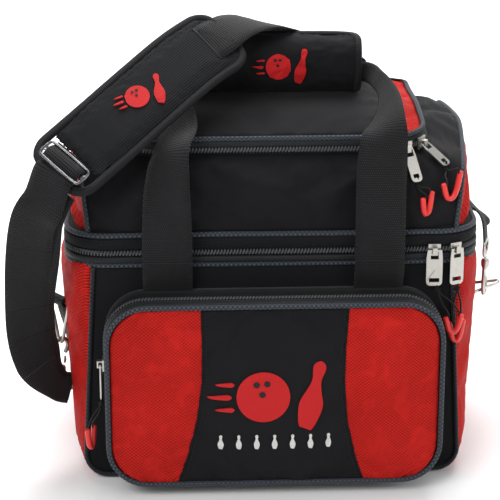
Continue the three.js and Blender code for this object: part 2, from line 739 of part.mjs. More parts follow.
function buildStrap() {
  add('shoulder_pad', shoulderPad(), blackCloth());
  add('strap_left_drop', strapLeftDrop(), webbing());
  add('strap_right_webbing', strapRight(), webbing());
  const adjuster = add('slide_adjuster', slideAdjuster(), gunmetal());
  const along = V(0.72, 0.49, 0.5).normalize();
  const across = PAD_WIDTH.clone().addScaledVector(along, -PAD_WIDTH.dot(along)).normalize();
  const up = across.clone().cross(along);
  adjuster.quaternion.setFromRotationMatrix(new THREE.Matrix4().makeBasis(across, along, up));
  adjuster.position.set(-196, -140, 327).addScaledVector(up, 12);
}

// Side hardware: a webbing tab, a triangular wire ring, a snap hook with its gate and swivel eye
function triangleLoop(centre, bar, down, halfBar, drop, radius) {
  const corner = (a, b) => centre.clone().addScaledVector(bar, a).addScaledVector(down, b);
  const path = [
    corner(-halfBar, 0), corner(-halfBar * 0.4, 0), corner(halfBar * 0.4, 0), corner(halfBar, 0),
    corner(halfBar + 1.5, 4), corner(halfBar * 0.55, drop * 0.55), corner(4, drop - 3), corner(0, drop),
    corner(-4, drop - 3), corner(-halfBar * 0.55, drop * 0.55), corner(-halfBar - 1.5, 4),
  ];
  return roundLoop(path, bar.clone().cross(down).normalize(), radius);
}

// The tab: webbing sewn down the side, its top turned into a sleeve round the ring's bar
function sideTab(sleeve, bar, path, widths) {
  const ring = (r) => arcPoints(0, 0, r, 0, 330, 11);
  const shape = new THREE.Shape(ring(5.2));
  shape.holes = [new THREE.Path(ring(3.2))];
  const tube = new THREE.ExtrudeGeometry(shape, { depth: 22, bevelEnabled: false }).translate(0, 0, -11);
  const up = V(0, 0, 1).addScaledVector(bar, -bar.z).normalize();
  const turn = new THREE.Matrix4().makeBasis(up.clone().cross(bar).normalize(), up, bar);
  tube.applyMatrix4(turn).translate(sleeve.x, sleeve.y, sleeve.z);
  return join(tube, strip(path, widths, 11.5, WEBBING, 10));
}

// Snap hook, drawn hanging from a ring: the claw is at the top and the barrel below it
function hookClaw() {
  const claw = [];
  for (let i = 0; i <= 10; i++) {
    const a = rad(lerp(-60, 190, i / 10));
    claw.push(V(8 * Math.cos(a), 0, -9 + 9 * Math.sin(a)));
  }
  claw.push(V(-7, 0, -22));
  claw.push(V(-1, 0, -31));
  const body = wireThrough(claw, V(0, 1, 0), 2.6);
  const barrel = new THREE.CylinderGeometry(4.6, 4.6, 9, 10).rotateX(Math.PI / 2).translate(0, 0, -34);
  return join(body, barrel);
}

function hookGate() {
  return wireThrough([V(4.4, 0, -20), V(4.6, 0, -25), V(3.4, 0, -27.8)], V(0, 1, 0), 1.6);
}

function hookEye() {
  const path = roundedRect(-14, 14, -58, -44, 5, 2).map((p) => V(p.x, 0, p.y));
  const loop = roundLoop(path, V(0, 1, 0), 1.9);
  const stem = new THREE.CylinderGeometry(2, 2, 5, 8).rotateX(Math.PI / 2).translate(0, 0, -41.5);
  return join(loop, stem);
}

function hookSet(side, place) {
  const group = new THREE.Group();
  place(group);
  add(`${side}_hook`, hookClaw(), nickel(), group);
  add(`${side}_hook_gate`, hookGate(), nickel(), group);
  add(`${side}_hook_eye`, hookEye(), nickel(), group);
  bag.add(group);
}

function buildSideHardware() {
  const leftBar = V(0.6, -0.8, 0);
  const down = V(0, 0, -1);
  const leftPath = [V(-206.6, -71.5, 172), V(-206.8, -69, 158), V(-203.4, -53, 125), V(-201.5, -50, 90)];
  const leftTurns = [leftBar.clone(), V(0.4, -0.9, 0), V(0.2, -1, 0), V(0.05, -1, 0)];
  add('left_tab', sideTab(LEFT_RING, leftBar, leftPath, leftTurns), webbing());
  add('left_ring', triangleLoop(LEFT_RING, leftBar, down, 15, 46, RING_WIRE), nickel());
  hookSet('left', (group) => {
    group.position.set(LEFT_RING.x, LEFT_RING.y, LEFT_RING.z - 40.8);
    group.rotation.z = rad(36.9);
  });

  const rightBar = V(0, 1, 0);
  const out = V(0.97, 0, 0.24).normalize();
  const rightPath = [V(206, 0, 147), V(206, 0, 138), V(205, 0, 110), V(202.5, 0, 84)];
  add('right_tab', sideTab(RIGHT_RING, rightBar, rightPath, rightPath.map(() => rightBar.clone())), webbing());
  add('right_ring', triangleLoop(RIGHT_RING, rightBar, out, 14, 34, RING_WIRE), nickel());
  hookSet('right', (group) => {
    group.position.set(226, -8.4, 147.8);
    group.rotation.set(rad(180), 0, rad(-73));
  });
}

// Zip slider, seen along the track: wings before and behind the tape, and a crown that holds the pull
function sliderBody(twoWings) {
  const wing = crossBar(rect(-4.6, -2.6, -6, 6), -6, 6);
  const tunnel = crossBar(rect(-10, -4.4, -3.6, 3.6), -2.4, 2.4, [rect(-8.4, -5, -2.1, 2.1)]);
  if (!twoWings) {
    return join(wing, tunnel);
  }
  const post = crossBar(rect(-3, 3, -0.35, 0.35), -2, 2);
  const rear = crossBar(rect(2.6, 4.6, -6, 6), -6, 6);
  return join(wing, tunnel, post, rear);
}

const PULL_Y = -6.7;

// Zip pull: a flat plate that hangs from its top bar, with a slot for the crown and one for the cord
function pullTab(length, half) {
  const outline = [
    new THREE.Vector2(-half + 1, 0.9),
    new THREE.Vector2(-half, -8),
    ...arcPoints(-half + 4, -length + 4, 4, 180, 270, 3),
    ...arcPoints(half - 4, -length + 4, 4, 270, 360, 3),
    new THREE.Vector2(half, -8),
    new THREE.Vector2(half - 1, 0.9),
  ];
  const plate = uprightPlate(outline, -0.8, 0.8);
  const crownSlot = uprightPlate(rect(-3.8, 3.8, -8.5, -0.9), -2, 2);
  const cordSlot = uprightPlate(rect(-half + 3, half - 3, -length + 4, -length + 8), -2, 2);
  return cut(plate, crownSlot, cordSlot);
}

function zipSlider(name, place, parent, { twoWings = true, length = 36, half = 8, lift = 0 }) {
  const group = new THREE.Group();
  place(group);
  add(`${name}_slider`, sliderBody(twoWings), nickel(), group);
  const pull = add(`${name}_pull`, pullTab(length, half), nickel(), group);
  pull.position.y = PULL_Y;
  pull.rotation.x = -rad(lift);
  parent.add(group);
}

// Soft rubber sleeve bent into a U, carried on the pull's cord
function pullTube(left, right, sag) {
  const low = left.clone().lerp(right, 0.5).add(V(0, 0, -sag));
  const leftLow = left.clone().lerp(low, 0.55).add(V(0, 0, -0.3 * sag));
  const rightLow = right.clone().lerp(low, 0.55).add(V(0, 0, -0.3 * sag));
  return wire([left, leftLow, low, rightLow, right], 3, 12, 8);
}

// A place on a zip track's front right corner, turned to face outwards
function onCorner(group, half, front, r, degrees, z) {
  const a = rad(degrees);
  group.position.set(half - r + r * Math.sin(a), front + r - r * Math.cos(a), z);
  group.rotation.z = a;
}

function buildZips() {
  const mainCorner = (g) => onCorner(g, RIM.half, RIM.front, RIM.cornerR, 23, RIM.zipZ);
  const lidCorner = (degrees) => (g) => onCorner(g, LID.half, -LID.length, LID.cornerR, degrees, 0);
  zipSlider('main_left', (g) => g.position.set(156, RIM.front, RIM.zipZ), bag, {});
  zipSlider('main_right', mainCorner, bag, { half: 7.6 });
  zipSlider('lid_left', lidCorner(24), lidFrame, { length: 34, half: 6, lift: 38 });
  zipSlider('lid_right', lidCorner(52), lidFrame, { length: 32, half: 6, lift: 60 });
  zipSlider('pocket', (g) => {
    g.position.set(-POCKET.half + 1.6, -151, 134);
    g.rotation.z = rad(-90);
  }, bag, { twoWings: false, half: 7 });
  add('main_left_tube', pullTube(V(167, -138, 172), V(183, -136, 174), 18), redRubber());
  add('main_right_tube', pullTube(V(172, -131, 164), V(186, -129, 166), 22), redRubber());
  add('lid_left_tube', pullTube(V(143, -127, 290), V(152, -125, 296), 21), redRubber());
  add('lid_right_tube', pullTube(V(163, -124, 303), V(180, -118, 314), 22), redRubber());
  add('pocket_tube', pullTube(V(-182, -158, 68), V(-176, -146, 68), 22), redRubber());
}

buildLower();
buildRim();
buildUpper();
buildLid();
buildPocket();
buildHandles();
buildStrap();
buildSideHardware();
buildZips();

export default bag;
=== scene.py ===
import json
import math

import bmesh
import bpy
import numpy as np
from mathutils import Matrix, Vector
from mathutils.bvhtree import BVHTree

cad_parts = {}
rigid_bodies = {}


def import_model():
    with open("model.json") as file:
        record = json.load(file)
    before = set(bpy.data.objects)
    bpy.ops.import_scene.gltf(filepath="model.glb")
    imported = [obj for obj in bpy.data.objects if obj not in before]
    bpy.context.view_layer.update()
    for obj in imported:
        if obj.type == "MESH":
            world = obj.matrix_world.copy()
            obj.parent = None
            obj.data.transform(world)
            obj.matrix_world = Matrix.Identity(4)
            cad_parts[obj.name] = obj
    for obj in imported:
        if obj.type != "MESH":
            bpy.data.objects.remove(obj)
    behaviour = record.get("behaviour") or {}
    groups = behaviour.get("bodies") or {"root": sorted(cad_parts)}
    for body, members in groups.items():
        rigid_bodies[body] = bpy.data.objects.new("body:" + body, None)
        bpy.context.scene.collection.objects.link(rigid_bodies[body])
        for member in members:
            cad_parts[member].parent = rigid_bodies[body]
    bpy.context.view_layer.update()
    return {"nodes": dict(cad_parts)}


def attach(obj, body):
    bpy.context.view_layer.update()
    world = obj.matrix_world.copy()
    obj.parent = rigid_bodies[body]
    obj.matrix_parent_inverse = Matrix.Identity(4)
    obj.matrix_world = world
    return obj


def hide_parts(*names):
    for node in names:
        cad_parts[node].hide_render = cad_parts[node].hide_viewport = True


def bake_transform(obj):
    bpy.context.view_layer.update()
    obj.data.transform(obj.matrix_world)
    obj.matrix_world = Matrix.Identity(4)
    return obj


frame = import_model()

# Lengths below are in millimetres in the row frame, apart from bpy's own values, which are metres.
MM = 0.001
scene = bpy.context.scene
random = np.random.default_rng(7)

# Driving dimensions, as in the solids
BODY_TOP = 221
FOOT = 3.5
FACE_FRONT = -122
FACE_BACK = 122
CORNER = 22
RIM_HALF = 200
RIM_R = 40
RIM_ZIP = 237
LID_HALF = 150
LID_LENGTH = 187
LID_R = 38
LID_SLOPE = math.radians(7)
LID_HINGE = np.array([0.0, 84.0, 356.0])
POCKET_HALF = 163
POCKET_LOW = 12
POCKET_HIGH = 199
POCKET_R = 40
POCKET_MIDDLE = 105
POCKET_ZIP_Y = -151
FLAP_Y = -171
FOLD_Z = 96
LEG_X = 102
WEB_HALF = 24
WEBBING = 2.4


# ---------------------------------------------------------------- vectors and paths

def vec(*xyz):
    return np.array(xyz, float)


def unit(v):
    v = np.asarray(v, float)
    return v / (np.linalg.norm(v, axis=-1, keepdims=True) + 1e-12)


def mix(a, b, t):
    return a + (b - a) * t


def ease(t):
    t = np.clip(t, 0, 1)
    return t * t * (3 - 2 * t)


def steps(path):
    """The distance from each point of a path to the next."""
    return np.linalg.norm(np.diff(path, axis=0), axis=1)


def run_length(path):
    """The distance run along a path at each of its points."""
    return np.concatenate([[0], np.cumsum(steps(path))])


def resample(path, count, closed=False):
    """The same path with points evenly spaced along it."""
    path = np.asarray(path, float)
    if closed:
        path = np.vstack([path, path[:1]])
    run = run_length(path)
    wanted = np.linspace(0, run[-1], count + 1 if closed else count)
    even = np.stack([np.interp(wanted, run, path[:, k]) for k in range(path.shape[1])], 1)
    return even[:-1] if closed else even


def curve(controls, count):
    """A smooth path through control points, evenly spaced."""
    p = np.asarray(controls, float)
    p = np.vstack([2 * p[0] - p[1], p, 2 * p[-1] - p[-2]])
    fine = []
    for i in range(1, len(p) - 2):
        t = np.linspace(0, 1, 24, endpoint=False)[:, None]
        a, b, c, d = p[i - 1], p[i], p[i + 1], p[i + 2]
        fine.append(0.5 * (2 * b + (c - a) * t + (2 * a - 5 * b + 4 * c - d) * t ** 2
                           + (3 * b - a - 3 * c + d) * t ** 3))
    fine.append(p[-2][None, :])
    return resample(np.vstack(fine), count)


def tangents(path, closed=False):
    path = np.asarray(path, float)
    if closed:
        return unit(np.roll(path, -1, 0) - np.roll(path, 1, 0))
    return unit(np.gradient(path, axis=0))


def arc(cx, cy, r, start, stop, count):
    a = np.radians(np.linspace(start, stop, count))
    return np.stack([cx + r * np.cos(a), cy + r * np.sin(a)], 1)


def between(a, b, count):
    """The inner points of a line of count points."""
    return mix(np.asarray(a, float), np.asarray(b, float), np.linspace(0, 1, count)[1:-1, None])


def ring2d(x0, x1, y0, y1, r, straight=16, corner=7):
    """A rounded rectangle, from its lower left corner round by the lower right, with a fixed point count."""
    corners = [arc(x0 + r, y0 + r, r, 180, 270, corner), arc(x1 - r, y0 + r, r, 270, 360, corner),
               arc(x1 - r, y1 - r, r, 0, 90, corner), arc(x0 + r, y1 - r, r, 90, 180, corner)]
    points = []
    for here, following in zip(corners, corners[1:] + corners[:1]):
        points += [here, between(here[-1], following[0], straight + 1)]
    return np.vstack(points)


def open_run(ring, keep):
    """The unbroken part of a closed path that keep marks."""
    first = int(np.flatnonzero(keep & ~np.roll(keep, 1))[0])
    return np.roll(ring, -first, 0)[: int(keep.sum())]


def lay(plan, z):
    """Plan points at height z."""
    return np.column_stack([plan, np.full(len(plan), z)])


def stand(plan, y):
    """A plan of X and Z values stood up at depth y."""
    return np.column_stack([plan[:, 0], np.full(len(plan), float(y)), plan[:, 1]])


def lattice(u, v):
    return np.stack(np.meshgrid(u, v, indexing="ij"), 2)


def quarter(into, r):
    """What is left of a round corner's radius at each distance into it."""
    return np.sqrt(np.maximum(r ** 2 - into ** 2, 0))


def signed_power(x, power):
    return np.sign(x) * np.abs(x) ** power


def wobble(path, size, scale, seed=0.0):
    """A small smooth waver, the same each run."""
    a = np.sin(path[:, 0] / scale + seed) + np.sin(path[:, 1] / (0.7 * scale) + 2.1 * seed)
    return size * (a + np.sin(path[:, 2] / (0.8 * scale) + 1.3 + seed)) / 3


# ---------------------------------------------------------------- meshes

def new_mesh(name, points, faces, corner_uvs=None):
    mesh = bpy.data.meshes.new(name)
    mesh.from_pydata((np.asarray(points, float) * MM).tolist(), [], [list(map(int, f)) for f in faces])
    if corner_uvs is not None:
        layer = mesh.uv_layers.new(name="metres")
        layer.data.foreach_set("uv", (np.asarray(corner_uvs, float) * MM).astype(np.float32).ravel())
    mesh.polygons.foreach_set("use_smooth", [True] * len(mesh.polygons))
    mesh.update()
    obj = bpy.data.objects.new(name, mesh)
    scene.collection.objects.link(obj)
    return obj


def signed_volume(points, faces):
    total = 0.0
    for f in faces:
        a = points[f[0]]
        for k in range(1, len(f) - 1):
            total += float(np.dot(a, np.cross(points[f[k]], points[f[k + 1]])))
    return total


def grid(name, P, uv=None, wrap_i=False, wrap_j=False, caps=False, outward=None):
    """A mesh over a grid of points. Its UV map is in metres, measured along the rows and columns."""
    P = np.asarray(P, float)
    m, n = P.shape[:2]
    if uv is None:
        Q = np.concatenate([P, P[:1]], 0) if wrap_i else P
        Q = np.concatenate([Q, Q[:, :1]], 1) if wrap_j else Q
        spans = [np.linalg.norm(np.diff(Q, axis=k), axis=2).mean(1 - k) for k in (0, 1)]
        uv = lattice(*(np.concatenate([[0], np.cumsum(span)]) for span in spans))
    points = P.reshape(-1, 3)
    faces, corners = [], []
    for i in range(m if wrap_i else m - 1):
        for j in range(n if wrap_j else n - 1):
            a, b = (i + 1) % m, (j + 1) % n
            faces.append((i * n + j, a * n + j, a * n + b, i * n + b))
            corners.append((uv[i, j], uv[i + 1, j], uv[i + 1, j + 1], uv[i, j + 1]))
    if caps:
        for row, turn in ((0, -1), (m - 1, 1)):
            faces.append(tuple(row * n + j for j in range(n))[::turn])
            corners.append([uv[row, j] for j in range(n)][::turn])
    if (wrap_i and wrap_j) or caps:
        flip = signed_volume(points, faces) < 0
    elif outward is not None:
        a, b, c, d = (points[[f[k] for f in faces]] for k in range(4))
        flip = float((np.cross(c - a, d - b) @ np.asarray(outward, float)).sum()) < 0
    else:
        flip = False
    if flip:
        faces = [f[::-1] for f in faces]
        corners = [list(c)[::-1] for c in corners]
    return new_mesh(name, points, faces, np.array([p for c in corners for p in c]))


def frames_along(path, up, closed=False):
    """Side and up directions at each point of a path."""
    t = tangents(path, closed)
    up = np.broadcast_to(np.asarray(up, float), t.shape)
    side = unit(np.cross(t, up))
    return t, side, np.cross(side, t)


def tube(name, path, radius, up=(0, 0, 1), sides=10, closed=False, flatten=1.0):
    _, side, top = frames_along(path, up, closed)
    a = 2 * np.pi * np.arange(sides) / sides
    radius = np.broadcast_to(np.asarray(radius, float), (len(path),))
    P = (np.asarray(path)[:, None, :] + radius[:, None, None] * (
        np.cos(a)[None, :, None] * side[:, None, :] + flatten * np.sin(a)[None, :, None] * top[:, None, :]))
    return grid(name, P, wrap_i=closed, wrap_j=True, caps=not closed)


def webbing_band(name, path, across, half, body, replaces=()):
    """Flat webbing with rounded edges; across is its width direction at each point."""
    t = tangents(path)
    across = unit(across - t * (across * t).sum(1, keepdims=True))
    normal = np.cross(t, across)
    half = np.broadcast_to(np.asarray(half, float), (len(path),))
    s = np.linspace(-1, 1, 7)
    edge = np.where(np.abs(s) > 0.99, 0.35, 1.0)
    section = np.concatenate([np.stack([s, edge], 1), np.stack([s[::-1], -edge[::-1]], 1)])
    P = (path[:, None, :] + half[:, None, None] * section[None, :, :1] * across[:, None, :]
         + 0.5 * WEBBING * section[None, :, 1:] * normal[:, None, :])
    width = np.append(section[:, 0], section[0, 0]) * float(half.max())
    uv = lattice(run_length(path), width)[..., ::-1]
    dress(grid(name, P, uv, wrap_j=True, caps=True), webbing, body, replaces)


def webbing_path(controls, widths, count):
    return curve(controls, count), unit(curve(widths, count))


def face(obj, direction):
    """Turns a mesh inside out if its first face looks away from direction."""
    if obj.data.polygons[0].normal.dot(Vector(direction)) < 0:
        obj.data.flip_normals()


def solid(obj, thickness, offset=-1.0):
    modifier = obj.modifiers.new("thickness", "SOLIDIFY")
    modifier.thickness = thickness * MM
    modifier.offset = offset
    return obj


def smooth(obj, levels=1):
    modifier = obj.modifiers.new("smooth", "SUBSURF")
    modifier.levels = levels
    modifier.render_levels = levels


def merge(name, objects):
    """One mesh from several, keeping the UV map."""
    points, faces, corners, base = [], [], [], 0
    for o in objects:
        mesh = o.data
        points += [v.co / MM for v in mesh.vertices]
        faces += [[base + i for i in f.vertices] for f in mesh.polygons]
        corners += [tuple(c.uv / MM) for c in mesh.uv_layers[0].data]
        base += len(mesh.vertices)
        bpy.data.objects.remove(o)
    return new_mesh(name, points, faces, np.array(corners))


def read(collection, key):
    values = np.zeros(len(collection) * 3, np.float32)
    collection.foreach_get(key, values)
    return values.reshape(-1, 3)


def place_vertices(mesh, points):
    mesh.vertices.foreach_set("co", points.astype(np.float32).ravel())


def cloth(obj, pinned, pressure, grow, cap, frames=16, bending=0.4):
    """Blows the sheet out and lets it wrinkle between its pinned seams, then keeps the result."""
    mesh = obj.data
    start = read(mesh.vertices, "co")
    normal = read(mesh.vertex_normals, "vector")
    free = ~np.asarray(pinned, bool)
    nudge = random.normal(0, 0.35 * MM, len(start))[:, None] * normal * free[:, None]
    place_vertices(mesh, start + nudge)
    group = obj.vertex_groups.new(name="seams")
    group.add([int(i) for i in np.flatnonzero(~free)], 1.0, "REPLACE")
    modifier = obj.modifiers.new("cloth", "CLOTH")
    settings = {"quality": 5, "mass": 0.2, "tension_stiffness": 12, "compression_stiffness": 12,
                "shear_stiffness": 6, "bending_stiffness": bending, "air_damping": 2,
                "vertex_group_mass": "seams", "use_pressure": True, "uniform_pressure_force": pressure,
                "shrink_min": -grow}
    for key, value in settings.items():
        setattr(modifier.settings, key, value)
    modifier.settings.effector_weights.gravity = 0
    modifier.collision_settings.use_collision = False
    modifier.point_cache.frame_start = 1
    modifier.point_cache.frame_end = frames
    for f in range(1, frames + 1):
        scene.frame_set(f)
    shown = obj.evaluated_get(bpy.context.evaluated_depsgraph_get()).to_mesh()
    end = read(shown.vertices, "co")
    obj.modifiers.remove(modifier)
    scene.frame_set(1)
    move = np.where(np.isfinite(end), end, start) - start
    length = np.linalg.norm(move, axis=1, keepdims=True) + 1e-9
    move = move * np.minimum(1, cap * MM / length)
    place_vertices(mesh, start + move * free[:, None])
    mesh.update()


def border(m, n):
    """True on the rim of an m by n grid."""
    edge = np.zeros((m, n), bool)
    edge[[0, -1], :] = True
    edge[:, [0, -1]] = True
    return edge.ravel()


def panel(name, P, uv, outward, blow, thickness, finish, body, node=None, soft=False):
    """A sheet sewn down round its rim: laid out, blown by cloth, thickened and dressed."""
    obj = grid(name, P, uv, outward=outward)
    if blow:
        cloth(obj, border(*P.shape[:2]), *blow)
    solid(obj, thickness)
    if soft:
        smooth(obj)
    dress(obj, finish, body, [node] if node else ())


def strip(name, rows, outward, thickness, finish, body, offset=-1.0):
    """A narrow sheet through rows of points."""
    obj = grid(name, np.stack(rows, 1), outward=outward)
    solid(obj, thickness, offset)
    dress(obj, finish, body)


# ---------------------------------------------------------------- materials

class Finish:
    """A procedural material; its node helpers take numbers or sockets."""

    def __init__(self, name, slot, roughness, metallic=0.0, sheen=0.0, coat=0.0, specular=0.16):
        self.slot = slot
        self.material = bpy.data.materials.new(name)
        self.material.use_nodes = True
        self.tree = self.material.node_tree
        self.shader = self.tree.nodes["Principled BSDF"]
        start = {"Roughness": roughness, "Metallic": metallic, "Sheen Weight": sheen,
                 "Sheen Roughness": 0.4, "Coat Weight": coat, "Specular IOR Level": specular}
        for socket, value in start.items():
            self.set(socket, value)

    def set(self, socket, value):
        self.feed(self.shader.inputs[socket], value)

    def feed(self, socket, value):
        if isinstance(value, bpy.types.NodeSocket):
            self.tree.links.new(value, socket)
        elif isinstance(value, tuple) and len(value) == 3 and socket.type == "RGBA":
            socket.default_value = (*value, 1.0)
        else:
            socket.default_value = value

    def node(self, kind, settings=None, **inputs):
        made = self.tree.nodes.new(kind)
        for key, value in (settings or {}).items():
            setattr(made, key, value)
        for key, value in inputs.items():
            self.feed(made.inputs[key], value)
        return made

    def math(self, operation, a, b=0.0):
        made = self.node("ShaderNodeMath", {"operation": operation})
        self.feed(made.inputs[0], a)
        self.feed(made.inputs[1], b)
        return made.outputs[0]

    def add(self, a, b):
        return self.math("ADD", a, b)

    def sub(self, a, b):
        return self.math("SUBTRACT", a, b)

    def mul(self, a, b):
        return self.math("MULTIPLY", a, b)

    def uv(self):
        split = self.node("ShaderNodeSeparateXYZ")
        self.tree.links.new(self.node("ShaderNodeUVMap", {"uv_map": "metres"}).outputs[0], split.inputs[0])
        return split.outputs[0], split.outputs[1]

    def place(self):
        """Coordinates fixed to the piece, as U and V on a slanted plane, for solids that carry no UV map."""
        split = self.node("ShaderNodeSeparateXYZ")
        self.tree.links.new(self.node("ShaderNodeTexCoord").outputs["Object"], split.inputs[0])
        return self.add(split.outputs[0], split.outputs[1]), split.outputs[2]

    def noise(self, scale, detail=2.0, distortion=0.0):
        made = self.node("ShaderNodeTexNoise", Scale=scale, Detail=detail, Distortion=distortion)
        self.tree.links.new(self.node("ShaderNodeTexCoord").outputs["Object"], made.inputs["Vector"])
        return made.outputs["Fac"]

    def wave(self, x, pitch):
        """Runs 0 to 1 to 0 over each pitch, in millimetres."""
        turn = self.mul(x, 2 * math.pi / (pitch * MM))
        return self.add(self.mul(self.math("COSINE", turn), 0.5), 0.5)

    def diamonds(self, u, slant, pitch, power):
        """Two sets of ridges that cross; a higher power makes them narrower."""
        ridges = [self.math("POWER", self.wave(x, pitch), power)
                  for x in (self.add(u, slant), self.sub(u, slant))]
        return self.math("MAXIMUM", *ridges)

    def blend(self, share, low, high):
        return self.node("ShaderNodeMixRGB", Fac=share, Color1=low, Color2=high).outputs[0]

    def spread(self, fac, low, high):
        """Stretches a noise's middle range over 0 to 1."""
        made = self.node("ShaderNodeMapRange", {"clamp": True}, Value=fac)
        made.inputs["From Min"].default_value = low
        made.inputs["From Max"].default_value = high
        return made.outputs[0]

    def mottled(self, colour, scale, detail, dark, light, low=0.35):
        """Soft patches between two shades of a colour."""
        patches = self.spread(self.noise(scale, detail), low, 0.7)
        return self.blend(patches, shade(colour, dark), shade(colour, light))

    def bump(self, height, depth):
        made = self.node("ShaderNodeBump", Strength=1.0, Distance=depth * MM)
        self.feed(made.inputs["Height"], height)
        self.set("Normal", made.outputs[0])


def shade(colour, factor):
    return tuple(c * factor for c in colour)


def woven(name, slot, colour, pitch, depth, roughness, sheen, flat_uv=True):
    """Plain-woven cloth: a thread grid, faint slubs, and worn lighter patches."""
    f = Finish(name, slot, roughness, sheen=sheen)
    u, v = f.uv() if flat_uv else f.place()
    weave = f.add(f.mul(f.sub(f.wave(u, pitch), 0.5), f.sub(f.wave(v, pitch), 0.5)), 0.5)
    slub = f.noise(900, 3)
    body = f.mottled(colour, 26, 4, dark=0.85, light=1.2)
    f.set("Base Color", f.blend(f.mul(weave, 0.7), shade(colour, 0.55), body))
    f.set("Roughness", f.add(f.mul(slub, 0.16), roughness - 0.08))
    f.bump(f.add(weave, f.mul(slub, 0.6)), depth)
    return f


def ripstop(name, slot, colour, pitch):
    """Coated nylon with a diamond grid of dark furrows, painted lighter in soft noise patches as a painted
    highlight where the cloth would catch the light.
    """
    f = Finish(name, slot, 0.55, specular=0.04)
    u, v = f.uv()
    furrow = f.diamonds(u, f.mul(v, 1.25), pitch, 7)
    body = f.mottled(colour, 14, 3, dark=0.9, light=1.12)
    # painted highlight: soft noise patches where the furrows are painted lighter and fainter, standing in for
    # the cloth catching the light
    painted_glint = f.spread(f.noise(60, 3, 0.8), 0.5, 0.75)
    line = f.blend(painted_glint, shade(colour, 0.14), shade(colour, 0.62))
    strength = f.mul(furrow, f.sub(0.85, f.mul(painted_glint, 0.35)))
    f.set("Base Color", f.blend(strength, body, line))
    slub = f.noise(1400, 2)
    f.set("Roughness", f.add(f.mul(slub, 0.2), 0.42))
    f.bump(f.add(f.sub(1.0, furrow), f.mul(slub, 0.15)), 0.35)
    return f


def braid(name, slot, colour, pitch, turns):
    """Braided cord: two sets of threads crossing in diamonds round it."""
    f = Finish(name, slot, 0.6, sheen=0.08)
    u, v = f.uv()
    cross = f.diamonds(u, f.mul(v, turns), pitch, 5)
    f.set("Base Color", f.blend(cross, colour, shade(colour, 0.12)))
    f.bump(f.add(f.sub(1.0, cross), f.mul(f.noise(1500), 0.2)), 0.5)
    return f


def webbing_finish(name, slot, colour, flat_uv=True):
    """Heavy webbing: ribs right across, each a row of short floats offset from the row before, with a painted
    highlight on the floats' tops.
    """
    f = Finish(name, slot, 0.66, sheen=0.08)
    u, v = f.uv() if flat_uv else f.place()
    rib_pitch = 2.3
    dot_pitch = 2.1
    row = f.math("FLOOR", f.math("DIVIDE", v, rib_pitch * MM))
    shift = f.mul(f.math("MODULO", f.math("ABSOLUTE", row), 2.0), 0.5 * dot_pitch * MM)
    rib = f.math("ABSOLUTE", f.math("SINE", f.mul(v, math.pi / (rib_pitch * MM))))
    dots = f.wave(f.add(u, shift), dot_pitch)
    height = f.mul(f.math("POWER", rib, 0.8), f.add(f.mul(dots, 0.45), 0.55))
    low = f.mottled(colour, 30, 3, dark=0.45, light=0.85, low=0.3)
    # painted highlight: where rib and float peak together the colour runs up to 5.5 times brighter than the
    # body
    painted_glint = f.math("POWER", f.mul(rib, dots), 3.0)
    f.set("Base Color", f.blend(painted_glint, low, shade(colour, 5.5)))
    f.bump(f.add(height, f.mul(f.noise(1300), 0.2)), 0.6)
    return f


def ribbed(name, slot, colour, pitch, roughness, depth, along_u=True):
    """Grosgrain binding and zip tape: fine ribs across a narrow band."""
    f = Finish(name, slot, roughness, sheen=0.05)
    u, v = f.uv()
    rib = f.wave(u if along_u else v, pitch)
    body = f.mottled(colour, 60, 3, dark=0.8, light=1.2, low=0.3)
    f.set("Base Color", f.blend(f.mul(rib, 0.5), shade(colour, 0.6), body))
    f.bump(f.add(rib, f.mul(f.noise(1200), 0.3)), depth)
    return f


def satin_stitch(name, slot, colour):
    """Embroidery: close parallel threads with a soft shine."""
    f = Finish(name, slot, 0.42, sheen=0.1)
    u, v = f.uv()
    line = f.wave(f.add(u, f.mul(v, 0.35)), 0.9)
    f.set("Base Color", f.blend(line, shade(colour, 0.55), colour))
    f.bump(line, 0.25)
    return f


def metal(name, slot, colour, roughness):
    """Plated metal: faint tumbling marks, and soft random patches a little darker."""
    f = Finish(name, slot, roughness, metallic=1.0, specular=0.5)
    f.set("Base Color", f.mottled(colour, 240, 3, dark=0.92, light=1))
    scratch = f.noise(2600, 2, 1.5)
    f.set("Roughness", f.add(f.mul(scratch, 0.1), roughness - 0.04))
    f.bump(scratch, 0.0015)
    return f


def rubber(name, slot, colour):
    f = Finish(name, slot, 0.38, coat=0.2, specular=0.4)
    f.set("Base Color", f.mottled(colour, 120, 3, dark=0.85, light=1))
    f.bump(f.noise(1800, 2), 0.06)
    return f


def moulded(name, slot, colour, roughness, scale, depth):
    """Board and foam: a grained or cellular surface."""
    f = Finish(name, slot, roughness)
    grain = f.noise(scale, 4)
    f.set("Base Color", f.blend(f.spread(grain, 0.3, 0.7), shade(colour, 0.75), shade(colour, 1.25)))
    f.bump(grain, depth)
    return f


BLACK = (0.0062, 0.0065, 0.0080)
RED = (0.50, 0.017, 0.013)
THREAD_RED = (0.60, 0.012, 0.014)

